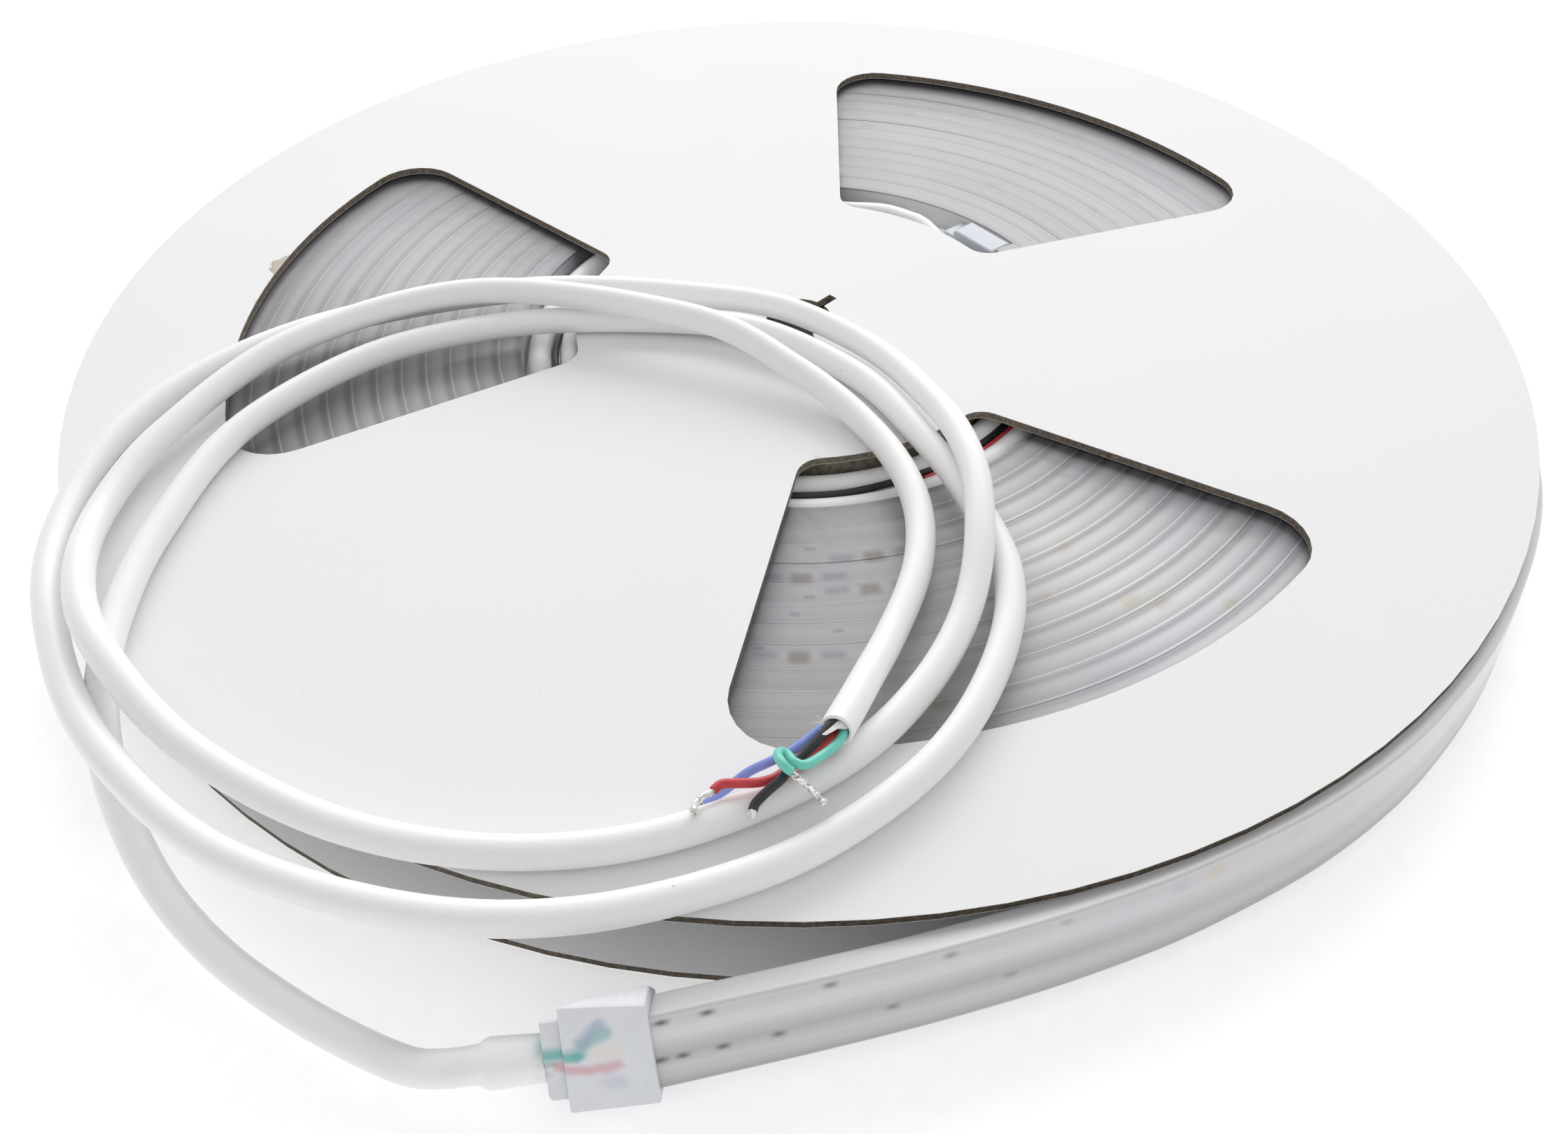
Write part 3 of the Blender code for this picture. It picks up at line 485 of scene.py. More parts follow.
def set_finish(tree, shader, tone, height=None, distance=0.0, strength=1.0, **values):
    """The shader's colour, its bump, and the values that are the same all over."""
    tree.links.new(tone, shader.inputs["Base Color"])
    if height is not None:
        bump = add_node(tree, "ShaderNodeBump",
                        {"Height": height, "Distance": distance, "Strength": strength})
        tree.links.new(bump.outputs["Normal"], shader.inputs["Normal"])
    for key, value in values.items():
        shader.inputs[key.replace("_", " ")].default_value = value


# Materials


def coated_board():
    """White coated faces and a grey-brown cut edge between two thin white liners."""
    made, tree, shader = new_material("coated_board")
    where = object_place(tree)
    grain = noise_value(tree, 900.0, 3.0)
    cloud = noise_value(tree, 26.0, 4.0)
    face = mix(tree, cloud, (0.865, 0.865, 0.87), (0.895, 0.895, 0.897))
    face = specked(tree, face, 95.0, 0.022, 0.45, (0.45, 0.44, 0.42))
    scuffs = maths(tree, "GREATER_THAN", stretched_noise(tree, where, (420.0, 60.0, 60.0), 3.0), 0.735)
    face = mix(tree, times(tree, scuffs, 0.10), face, (0.60, 0.60, 0.60))

    # The cut edge is darker round the rim than in the windows
    fibre = noise_value(tree, 1500.0, 3.0)
    rim = ramp(tree, fibre, (
        (0.30, (0.034, 0.026, 0.018)), (0.52, (0.078, 0.061, 0.043)), (0.75, (0.165, 0.135, 0.100))))
    window = ramp(tree, fibre, (
        (0.30, (0.130, 0.105, 0.078)), (0.52, (0.215, 0.178, 0.140)), (0.75, (0.34, 0.29, 0.24))))
    radius = vectors(tree, "LENGTH", place_from_axis(tree), result="Value")
    core = mix(tree, map_range(tree, radius, *RIM_FROM), window, rim)
    height = maths(tree, "SUBTRACT", split(tree, where)["Z"], MIDDLE_Z)
    outward = maths(tree, "SUBTRACT", maths(tree, "ABSOLUTE", height), MIDDLE_Z - BOARD)
    liner = maths(tree, "MAXIMUM", maths(tree, "LESS_THAN", outward, LINERS[0]),
                  maths(tree, "GREATER_THAN", outward, BOARD - LINERS[1]))
    edge = mix(tree, liner, core, (0.66, 0.64, 0.60))
    facing = split(tree, add_node(tree, "ShaderNodeNewGeometry").outputs["True Normal"])["Z"]
    flat = maths(tree, "GREATER_THAN", maths(tree, "ABSOLUTE", facing), 0.5)
    set_finish(tree, shader, mix(tree, flat, edge, face),
               maths(tree, "ADD", grain, times(tree, cloud, 2.0)), 0.02 * MM, 0.5,
               Roughness=0.62, Specular_IOR_Level=0.3)
    return made


def grey_board():
    made, tree, shader = new_material("hub_board")
    fibre = noise_value(tree, 700.0, 4.0)
    tone = ramp(tree, fibre, ((0.3, (0.16, 0.14, 0.11)), (0.7, (0.33, 0.30, 0.25))))
    set_finish(tree, shader, tone, fibre, 0.05 * MM, Roughness=0.9)
    return made


def cable_jacket():
    """Soft white silicone, a little warm, with a dusting of specks."""
    made, tree, shader = new_material("cable_jacket")
    tone = mix(tree, noise_value(tree, 60.0, 3.0), (0.905, 0.905, 0.895), (0.945, 0.945, 0.94))
    tone = specked(tree, tone, 240.0, 0.038, 0.55, (0.22, 0.22, 0.22))
    set_finish(tree, shader, tone, noise_value(tree, 140.0), 0.05 * MM, 0.5,
               Roughness=0.42, Specular_IOR_Level=0.4, Subsurface_Weight=0.12,
               Subsurface_Scale=0.002, Sheen_Weight=0.06)
    return made


def wire_skin(name, dark, light):
    made, tree, shader = new_material(name)
    set_finish(tree, shader, mix(tree, noise_value(tree, 900.0), dark, light),
               noise_value(tree, 2500.0), 0.01 * MM, 0.4, Roughness=0.38, Specular_IOR_Level=0.5)
    return made


def tinned_metal():
    """Bright tinned strands, with noise painting dark patches on them: painted shade and dark reflection
    in the creases between the solder lumps.
    """
    made, tree, shader = new_material("tinned_strands")
    # Painted shade and dark reflection: the noise darkens patches of the tin
    patch = noise_value(tree, 1300.0)
    tone = ramp(tree, patch, (
        (0.32, (0.22, 0.21, 0.19)), (0.42, (0.74, 0.73, 0.70)), (0.56, (0.97, 0.97, 0.95))))
    tree.links.new(map_range(tree, patch, 0.0, 1.0, 0.12, 0.34), shader.inputs["Roughness"])
    set_finish(tree, shader, tone, patch, 0.09 * MM, Metallic=0.9)
    return made


def frosted_sleeve():
    """Frosted silicone over the circuit: tones follow the strip's own section and length, with painted
    light round the reel, painted shade and highlight across each turn and painted shade under the board's
    edges.
    """
    made, tree, shader = new_material("frosted_sleeve")
    place = attribute(tree, "place")
    along, across, up = split(tree, place)
    painted_light_and_tone, painted_stripe_strength, reach = split(tree, attribute(tree, "painted_light_and_shade"))
    half_height = SLEEVE_HEIGHT / 2.0

    share = maths(tree, "ADD", maths(tree, "DIVIDE", across, SLEEVE_THICKNESS), 0.5)
    # Painted shade and highlight across each wound turn's top: darker towards the grooves at its edges,
    # lighter in its middle, and a thin painted highlight near its outer edge; the painted stripe strength
    # fades this to a flat tone
    top = ramp(tree, share, (
        (0.00, 0.30), (0.08, 0.25), (0.17, 0.29), (0.30, 0.44), (0.42, 0.48), (0.60, 0.44),
        (0.80, 0.36), (0.90, 0.33), (0.93, 0.58), (0.975, 0.58), (1.00, 0.34),
    ))
    loose = maths(tree, "LESS_THAN", along, LOOSE_LENGTH)
    top = mix(tree, painted_stripe_strength, mix(tree, loose, (0.40, 0.40, 0.405), (0.62, 0.62, 0.62)), top)
    level = maths(tree, "ADD", maths(tree, "DIVIDE", up, SLEEVE_HEIGHT), 0.5)
    # Up the loose end's side: bands of the tape seen through; near the cap the very top edge is lighter, a
    # painted highlight
    near_side = ramp(tree, level, (
        (0.00, 0.40), (0.06, 0.43), (0.11, 0.50), (0.17, 0.57), (0.28, 0.62), (0.34, 0.57),
        (0.45, 0.48), (0.52, 0.54), (0.62, 0.62), (0.68, 0.70), (0.76, 0.71), (0.85, 0.65),
        (0.91, 0.62), (0.96, 0.65), (1.00, 0.70),
    ))
    far_side = ramp(tree, level, (
        (0.00, 0.50), (0.05, 0.43), (0.12, 0.46), (0.20, 0.55), (0.30, 0.56), (0.38, 0.54),
        (0.50, 0.62), (0.65, 0.67), (0.85, 0.67), (1.00, 0.68),
    ))
    side = mix(tree, map_range(tree, along, *SIDE_CHANGE), near_side, far_side)
    crown = map_range(tree, maths(tree, "ABSOLUTE", up), half_height - CROWN_BAND[0],
                      half_height - CROWN_BAND[1], kind="SMOOTHSTEP")
    tone = mix(tree, crown, side, top)

    # Streaks along the strip, and turns that are a little warmer or cooler than their neighbours
    streak = stretched_noise(tree, place, (18.0, 500.0, 260.0), 3.0)
    tone = mix(tree, 0.35, tone, mix(tree, streak, (0.42, 0.42, 0.43), (0.60, 0.60, 0.60)), "OVERLAY")
    tone = tinted(tree, tone, ramp(tree, stretched_noise(tree, place, (6.0, 0.0, 0.0), 1.0), (
        (0.34, (0.985, 0.99, 1.03)), (0.50, (1.0, 1.0, 1.01)), (0.66, (1.02, 1.0, 0.975)))))

    # Lamps, their chips and pads seen through the top
    level_place = place_from_axis(tree)
    radius = vectors(tree, "LENGTH", level_place, result="Value")
    level_parts = split(tree, level_place)
    azimuth = maths(tree, "ARCTAN2", level_parts["Y"], level_parts["X"])

    def patches(places, half_across, half_along, blur):
        total = None
        for distance, degrees in places:
            patch = times(
                tree, soft_band(tree, radius, distance * MM, half_across * MM, blur * MM),
                soft_band(tree, azimuth, math.radians(degrees), half_along / distance, blur / distance))
            total = patch if total is None else maths(tree, "MAXIMUM", total, patch)
        return times(tree, total, crown)

    chips = [(far - 0.3, turn + side_of * math.degrees(CHIP_STEP / far))
             for far, turn in LAMPS for side_of in (-1, 1)]
    for shown, colour in (
            (patches(LAMPS, 1.25, 1.7, 0.80), (0.62, 0.56, 0.50)),
            (patches(chips, 0.75, 2.0, 0.85), (0.70, 0.70, 0.78)),
            (patches(PADS, 0.4, 0.9, 0.35), (0.72, 0.72, 0.75)),
            (patches(FAINT_LAMPS, 1.0, 1.6, 0.9), (0.93, 0.88, 0.78))):
        tone = mix(tree, shown, tone, tinted(tree, tone, colour))
    tone = specked(tree, tone, 150.0, 0.02, 0.7, (0.95, 0.95, 0.95))

    # Parts of the circuit seen through the side of the loose turn, darkest near the cap
    beside = maths(tree, "SUBTRACT", 1.0, crown)
    nearness = times(tree, map_range(tree, along, *PADS_FADE, 0.05, 0.88), beside)
    for row, centres in PAD_ROWS:
        band = soft_band(tree, up, row * MM, 0.30 * MM, 0.50 * MM)
        for centre in centres:
            spot = times(tree, soft_band(tree, along, centre * MM, 0.7 * MM, 0.9 * MM), band, nearness)
            tone = mix(tree, spot, tone, (0.10, 0.10, 0.105))
    for high, start, length, tint, strength in TAIL_PATCHES:
        spot = times(tree, soft_band(tree, up, high * MM, 0.9 * MM, 0.5 * MM),
                     soft_band(tree, along, start * MM, length * MM / 2.0, 0.9 * MM), strength, beside)
        tone = mix(tree, spot, tone, tint)

    # Painted shade: the silicone is darkened close under the board's edges, where less light from behind
    # comes in
    tone = tinted(tree, tone, ramp(tree, reach, (
        (0.0, (0.12, 0.12, 0.13)), (0.17, (0.22, 0.22, 0.24)), (0.33, (0.36, 0.36, 0.38)),
        (0.50, (0.56, 0.56, 0.58)), (0.67, (0.75, 0.75, 0.765)), (0.83, (0.90, 0.90, 0.91)),
        (1.0, (1.0, 1.0, 1.0))), "LINEAR"))
    # Painted light round the reel, with a little random tone, multiplies the colour
    painted_light_and_tone_factor = add_node(tree, "ShaderNodeCombineColor", {0: painted_light_and_tone, 1: painted_light_and_tone, 2: painted_light_and_tone}).outputs[0]
    set_finish(tree, shader, tinted(tree, tone, painted_light_and_tone_factor), streak, 0.04 * MM, 0.5,
               Roughness=0.38, Specular_IOR_Level=0.35, Subsurface_Weight=0.12,
               Subsurface_Scale=0.002, Coat_Weight=0.05, Coat_Roughness=0.3)
    return made


def segment_distance(tree, point, first, second):
    """Distance from a point to a line between two places given in millimetres."""
    start = Vector((*first, 0.0)) * MM
    reach = Vector((*second, 0.0)) * MM - start
    away = vectors(tree, "SUBTRACT", point, start)
    share = map_range(tree, vectors(tree, "DOT_PRODUCT", away, reach, "Value"), 0.0, reach.length_squared)
    return vectors(tree, "DISTANCE", away, vectors(tree, "MULTIPLY", share, reach), "Value")


def cores_inside(tree, place, tone, strength):
    """Blurred coloured cores, each along a line of points in the cap's own frame."""
    parts = split(tree, place)
    sway = times(tree, maths(tree, "SUBTRACT", noise_value(tree, 380.0), 0.5), 1.4 * MM)
    flat = add_node(tree, "ShaderNodeCombineXYZ", {
        "X": maths(tree, "ADD", parts["X"], sway),
        "Y": maths(tree, "ADD", parts["Z"], sway)}).outputs["Vector"]
    for colour, weight, half, line in CORES_INSIDE:
        nearest = None
        for first, second in zip(line, line[1:]):
            distance = segment_distance(tree, flat, first, second)
            nearest = distance if nearest is None else maths(tree, "MINIMUM", nearest, distance)
        mask = map_range(tree, nearest, half * 1.5 * MM, half * 0.15 * MM, kind="SMOOTHSTEP")
        tone = mix(tree, times(tree, mask, weight * strength), tone, colour)
    return tone


def milky_silicone():
    """Clear moulded silicone, milky enough to blur the cores inside it, darker behind."""
    made, tree, shader = new_material("milky_silicone")
    place = attribute(tree, "place")
    ahead, aside, _ = split(tree, place)
    tone = mix(tree, noise_value(tree, 320.0, 3.0), (0.80, 0.815, 0.865), (0.87, 0.885, 0.92))
    behind = map_range(tree, aside, CAP_THICKNESS / 2.0, -CAP_THICKNESS / 2.0)
    tone = cores_inside(tree, place, mix(tree, behind, tone, (0.50, 0.51, 0.56)), 1.0)
    for rib in CAP_RIBS:
        line = soft_band(tree, ahead, rib, 0.05 * MM, 0.25 * MM)
        tone = mix(tree, times(tree, line, 0.15), tone, (0.95, 0.95, 0.95))
    tone = specked(tree, tone, 260.0, 0.05, 0.6, (0.95, 0.95, 0.95))
    set_finish(tree, shader, tone, noise_value(tree, 200.0), 0.08 * MM, 0.5, Roughness=0.36, IOR=1.41,
               Transmission_Weight=0.12, Subsurface_Weight=0.25, Subsurface_Scale=0.002)
    return made


def cap_block():
    """The inner cap: the same milky silicone, with nothing to be seen inside."""
    made, tree, shader = new_material("milky_block")
    tone = mix(tree, noise_value(tree, 320.0, 3.0), (0.64, 0.67, 0.74), (0.74, 0.77, 0.84))
    set_finish(tree, shader, tone, noise_value(tree, 200.0), 0.08 * MM, 0.5,
               Roughness=0.3, IOR=1.41, Transmission_Weight=0.2)
    return made


def boot_skin():
    """White silicone of the boot, through which the cores just show at the cap."""
    made, tree, shader = new_material("boot_skin")
    tone = mix(tree, noise_value(tree, 120.0, 3.0), (0.93, 0.93, 0.925), (0.97, 0.97, 0.97))
    tone = specked(tree, tone, 260.0, 0.07, 0.5, (0.3, 0.3, 0.3))
    tone = cores_inside(tree, attribute(tree, "place"), tone, 0.30)
    set_finish(tree, shader, tone, noise_value(tree, 160.0), 0.06 * MM, 0.5, Roughness=0.4,
               Specular_IOR_Level=0.4, Subsurface_Weight=0.12, Subsurface_Scale=0.002)
    return made


def plain(name, colour, roughness):
    made, tree, shader = new_material(name)
    darker = tuple(level * 0.9 for level in colour)
    set_finish(tree, shader, mix(tree, noise_value(tree, 300.0), darker, colour), Roughness=roughness)
    return made


# Mesh helpers


def add_piece(name, shape, finish, body="root", smooth=40.0):
    bmesh.ops.recalc_face_normals(shape, faces=shape.faces[:])
    data = bpy.data.meshes.new(name)
    shape.to_mesh(data)
    shape.free()
    data.materials.append(finish)
    if smooth:
        data.shade_smooth()
        data.set_sharp_from_angle(angle=math.radians(smooth))
    made = bpy.data.objects.new(name, data)
    bpy.context.scene.collection.objects.link(made)
    if body:
        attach(made, body)
    return made


def loft(shape, rows):
    """Faces between rings of corners, with the first and the last ring closed."""
    shape.faces.new(rows[0])
    shape.faces.new(rows[-1])
    for near, far in zip(rows, rows[1:]):
        for index in range(len(near)):
            other = (index + 1) % len(near)
            shape.faces.new((near[index], near[other], far[other], far[index]))


def travel_frames(points):
    """Sideways and upward directions at each point, turning as little as they can."""
    count = len(points)
    frames = []
    side = None
    for index in range(count):
        along = (points[min(index + 1, count - 1)] - points[max(index - 1, 0)]).normalized()
        if side is None:
            side = along.cross(UP).normalized()
        side = (side - along * side.dot(along)).normalized()
        frames.append((side, side.cross(along).normalized(), along))
    return frames


def round_about(side, up, sides):
    """Directions all the way round, from the side towards up."""
    turns = [2.0 * math.pi * step / sides for step in range(sides)]
    return [side * math.cos(turn) + up * math.sin(turn) for turn in turns]


def tube_shape(shape, points, radius, sides, bore=0.0, bore_depth=0.0, wobble=0.0):
    """A round tube along the points, closed at its start, with an open bore at its end."""
    frames = travel_frames(points)

    def ring(index, size, shift=0.0):
        side, up, along = frames[index]
        made = []
        for out in round_about(side, up, sides):
            grown = size
            if wobble:
                grown += wobble * noise.noise(points[index] * 90.0 + out * 0.7)
            made.append(shape.verts.new(points[index] + out * grown + along * shift))
        return made

    rows = [ring(index, radius) for index in range(len(points))]
    if bore > 0.0:
        rows.append(ring(-1, (radius + bore) / 2.0, radius * 0.08))
        lengths = distances(points)
        rows.append(ring(-1, bore))
        index = len(points) - 2
        while index > 0 and lengths[-1] - lengths[index] < bore_depth:
            rows.append(ring(index, bore))
            index -= 1
    loft(shape, rows)


def section(width_out, height_up, corner, steps=3):
    """A rectangle with round corners: distances outward and upward."""
    outline = []
    for quarter, (side_out, side_up) in enumerate(((1, 1), (-1, 1), (-1, -1), (1, -1))):
        for step in range(steps + 1):
            angle = math.radians(90.0 * (quarter + step / steps))
            outline.append((side_out * (width_out / 2.0 - corner) + corner * math.cos(angle),
                            side_up * (height_up / 2.0 - corner) + corner * math.sin(angle)))
    return outline


# Strip


def cap_mouth():
    return polar(PACK_OUTER + CAP_MOUTH_REACH, CAP_MOUTH_AZIMUTH, MIDDLE_Z)


def between(keys, azimuth, column):
    """A value read between the keys round the reel."""
    azimuth = (azimuth + 180.0) % 360.0 - 180.0
    for before, after in zip(keys, keys[1:]):
        if azimuth <= after[0]:
            share = (azimuth - before[0]) / (after[0] - before[0])
            return before[column] + (after[column] - before[column]) * smoothstep(share)
    return keys[-1][column]


def coil_frames():
    """Places, directions and tones of the wound turns, from the inner cap outwards: painted light round
    the reel with a little random tone, and the strength of the painted stripes.
    """
    first = PACK_OUTER - TURNS * PITCH + SLEEVE_THICKNESS / 2.0
    frames = []
    total = INNER_MOUTH_AZIMUTH - TAIL_AZIMUTH + 360.0 * TURNS - COIL_SHORT
    steps = int(total / COIL_DEGREES)
    for index in range(steps + 1):
        travelled = total * index / steps
        azimuth = INNER_MOUTH_AZIMUTH - travelled
        lap = math.floor((STEP_START - azimuth) / 360.0)
        into = (STEP_START - azimuth - lap * 360.0) / (STEP_START - STEP_END)
        radius = first + PITCH * (lap - 1 + smoothstep(into))
        if lap < 0:
            radius = first - PITCH
        sway = noise.noise(Vector((travelled / 47.0, 3.1, 0.0))) * 0.03 * MM
        lift = noise.noise(Vector((travelled / 61.0, 9.7, 0.0))) * 0.08 * MM
        place = polar(radius + sway, azimuth, MIDDLE_Z + lift)
        outward = place - AXIS
        outward.z = 0.0
        shift = noise.noise(Vector((travelled / 130.0, 5.7, 0.0)))
        # Painted light by azimuth, varied a little at random
        painted_light_and_tone = between(TURN_PAINTED_LIGHT, azimuth, 1) * (1.0 + 0.08 * shift)
        frames.append((place, outward.normalized(), UP, painted_light_and_tone, between(TURN_PAINTED_LIGHT, azimuth, 2)))
    return frames


def tail_frames():
    """The loose outer turn, which leans over towards the cap and ends in its pocket."""
    route = [polar(PACK_OUTER + outside * MM, degrees, MIDDLE_Z) for degrees, outside in TAIL_ROUTE]
    route.append(cap_mouth())
    points = spline_points(route, TAIL_STATIONS)
    frames = []
    last = len(points) - 1
    for index, point in enumerate(points):
        if index == last:
            along = heading_vector(CAP_HEADING)
        else:
            along = (points[min(index + 1, last)] - points[max(index - 1, 0)]).normalized()
        azimuth = math.degrees(math.atan2(point.y - AXIS.y, point.x - AXIS.x))
        share = smoothstep((LEAN_FROM - azimuth) / (LEAN_FROM - LEAN_FULL))
        out, up = leaned(along, share)
        # Painted light by azimuth
        painted_light_and_tone = between(TAIL_PAINTED_LIGHT, azimuth, 1)
        frames.append((point + UP * CAP_LIFT * share, out, up, painted_light_and_tone, 0.0))
    place, out, up, painted_light_and_tone, painted_stripe_strength = frames[-1]
    inside = place + heading_vector(CAP_HEADING) * (CAP_POCKET - POCKET_GAP)
    frames.append((inside, out, up, painted_light_and_tone, painted_stripe_strength))
    return frames


def leaned(along, share):
    """Outward and upward directions of the strip where it leans by this share."""
    outward = UP.cross(along).normalized()
    lean = math.radians(CAP_LEAN) * share
    out = outward * math.cos(lean) + UP * math.sin(lean)
    up = UP * math.cos(lean) - outward * math.sin(lean)
    return out, up


def light_reach(board_tree, point):
    """Share of the slanting light from behind that comes past the board to a point."""
    free = 0
    for azimuth in REACH_AZIMUTHS:
        for height in REACH_HEIGHTS:
            climb = math.radians(height)
            ray = heading_vector(azimuth) * math.cos(climb) + UP * math.sin(climb)
            if board_tree.ray_cast(point, ray, REACH_LENGTH)[0] is None:
                free += 1
    return free / (len(REACH_AZIMUTHS) * len(REACH_HEIGHTS))


def crowned_section(thickness, corner):
    """The sleeve's outline with a slight crown over its top and bottom edges."""
    outline = section(thickness, SLEEVE_HEIGHT - SLEEVE_PLAY, corner)
    edge = max(up for _, up in outline)
    high = edge + SLEEVE_CROWN
    shoulder = edge + 0.3 * SLEEVE_CROWN
    flat = thickness / 2.0 - corner - 0.25 * MM
    crown = [(flat, shoulder), (0.0, high), (-flat, shoulder)]
    quarter = len(outline) // 4
    outline[quarter:quarter] = crown
    after = 3 * quarter + len(crown)
    outline[after:after] = [(-across, -up) for across, up in crown]
    return outline


def strip(finish):
    """The whole sleeve as one swept piece: wound turns, then the loose end."""
    coil = coil_frames()
    frames = coil + tail_frames()
    lengths = distances([place for place, *_ in frames])
    total = lengths[-1] - (CAP_POCKET - POCKET_GAP)
    wound = crowned_section(PITCH + TURN_LAP, WOUND_CORNER)
    loose = crowned_section(SLEEVE_THICKNESS, SLEEVE_CORNER)
    upper = SLEEVE_HEIGHT / 2.0 - SLEEVE_CORNER - SLEEVE_PLAY
    board_mesh = NODES["top_flange"].data
    board_tree = BVHTree.FromPolygons([point.co for point in board_mesh.vertices],
                                      [face.vertices for face in board_mesh.polygons])
    shape = bmesh.new()
    layer = shape.verts.layers.float_vector.new("place")
    painted_light_layer = shape.verts.layers.float_vector.new("painted_light_and_shade")
    rows = []
    for station, ((place, out, up, painted_light_and_tone, painted_stripe_strength), travelled) in enumerate(zip(frames, lengths)):
        row = []
        freed = smoothstep((station - len(coil)) / LOOSENING_STATIONS)
        for before, after in zip(wound, loose):
            across = before[0] + (after[0] - before[0]) * freed
            high = before[1] + (after[1] - before[1]) * freed
            corner = shape.verts.new(place + out * across + up * high)
            corner[layer] = (total - travelled, across, high)
            # Each corner keeps its painted light, the strength of the painted stripes and the share of
            # light from behind for the painted shade under the board
            reach = 1.0
            level = painted_light_and_tone
            if high > upper and station < len(coil):
                reach = light_reach(board_tree, corner.co)
            # Painted light: the innermost turn's inner wall is painted lighter
            if across < 0.0 and high < upper and station < INNERMOST_STATIONS:
                level = painted_light_and_tone * INNER_WALL_PAINTED_LIGHT
            corner[painted_light_layer] = (level, painted_stripe_strength, reach)
            row.append(corner)
        rows.append(row)
    loft(shape, rows)
    made = add_piece("strip_turns", shape, finish, smooth=50.0)
    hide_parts("strip_sleeve")


# End cap and boot


def cap_frame():
    """Where the cap starts, and its directions along, outward and up."""
    out, up = leaned(heading_vector(CAP_HEADING), 1.0)
    return cap_mouth() + UP * CAP_LIFT, heading_vector(CAP_HEADING), out, up


def outer_cap(finish):
    """The moulded cap: a body that narrows towards the cable, open over the strip, and its neck."""
    start, along, out, up = cap_frame()
    shape = bmesh.new()
    layer = shape.verts.layers.float_vector.new("place")
    front = CAP_THICKNESS / 2.0
    half = CAP_HEIGHT / 2.0
    slant = math.tan(math.radians(MOUTH_SLANT))

    def ring(ahead, corners, at_mouth=False, shift=CAP_SHIFT):
        """Corners round the cap. The mouth's rim slants across the strip and tips with height."""
        row = []
        for aside, high in corners:
            place = Vector((ahead, aside, high + shift))
            if at_mouth:
                place.x += MOUTH_TILT * (0.5 + high / CAP_HEIGHT) - slant * (front - aside)
            corner = shape.verts.new(start + along * place.x + out * place.y + up * place.z)
            corner[layer] = place
            row.append(corner)
        return row

    def body(ahead, back_top, knee, at_mouth=False):
        top = half + CAP_TOP + CAP_RISE * ahead / CAP_END
        back = 0.3 * MM - front
        return ring(ahead, ((front, top), (front, -half), (back, -half), (back, knee), (back_top, top)),
                    at_mouth)

    def pocket(ahead, at_mouth=False):
        wide = POCKET_THICKNESS / 2.0
        tall = POCKET_HEIGHT / 2.0
        return ring(ahead, ((wide, tall), (wide, -tall), (-wide, -tall), (-wide, -0.2 * tall),
                            (-wide, tall)), at_mouth, 0.0)

    loft(shape, [
        body(CAP_END, front - 0.5 * MM, 0.5 * MM), body(CAP_END - CAP_CHAMFER, front - 1.6 * MM, 4.2 * MM),
        body(CAP_END / 2.0, front - 2.4 * MM, 4.9 * MM), body(0.0, front - 3.9 * MM, 5.4 * MM, True),
        pocket(0.0, True), pocket(CAP_POCKET),
    ])
    neck_front = NECK_THICKNESS / 2.0
    neck_half = NECK_HEIGHT / 2.0
    neck_top = neck_half + 0.5 * MM + 0.7 * CAP_RISE
    loft(shape, [
        ring(CAP_END + ahead, (
            (neck_front, neck_top), (neck_front, less - neck_half), (-neck_front, less - neck_half),
            (-neck_front, -0.1 * neck_half), (neck_front - 0.6 * MM, neck_top)))
        for ahead, less in ((-0.2 * MM, 0.0), (NECK_REACH - 0.5 * MM, 0.0), (NECK_REACH, 0.5 * MM))
    ])
    bmesh.ops.recalc_face_normals(shape, faces=shape.faces[:])
    sharp = [edge for edge in shape.edges if edge.calc_face_angle(0.0) > math.radians(30.0)]
    bmesh.ops.bevel(shape, geom=sharp, offset=CAP_ROUNDING, segments=2, affect="EDGES", profile=0.5)
    made = add_piece("end_cap_shell", shape, finish, smooth=35.0)
    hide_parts("outer_end_cap")


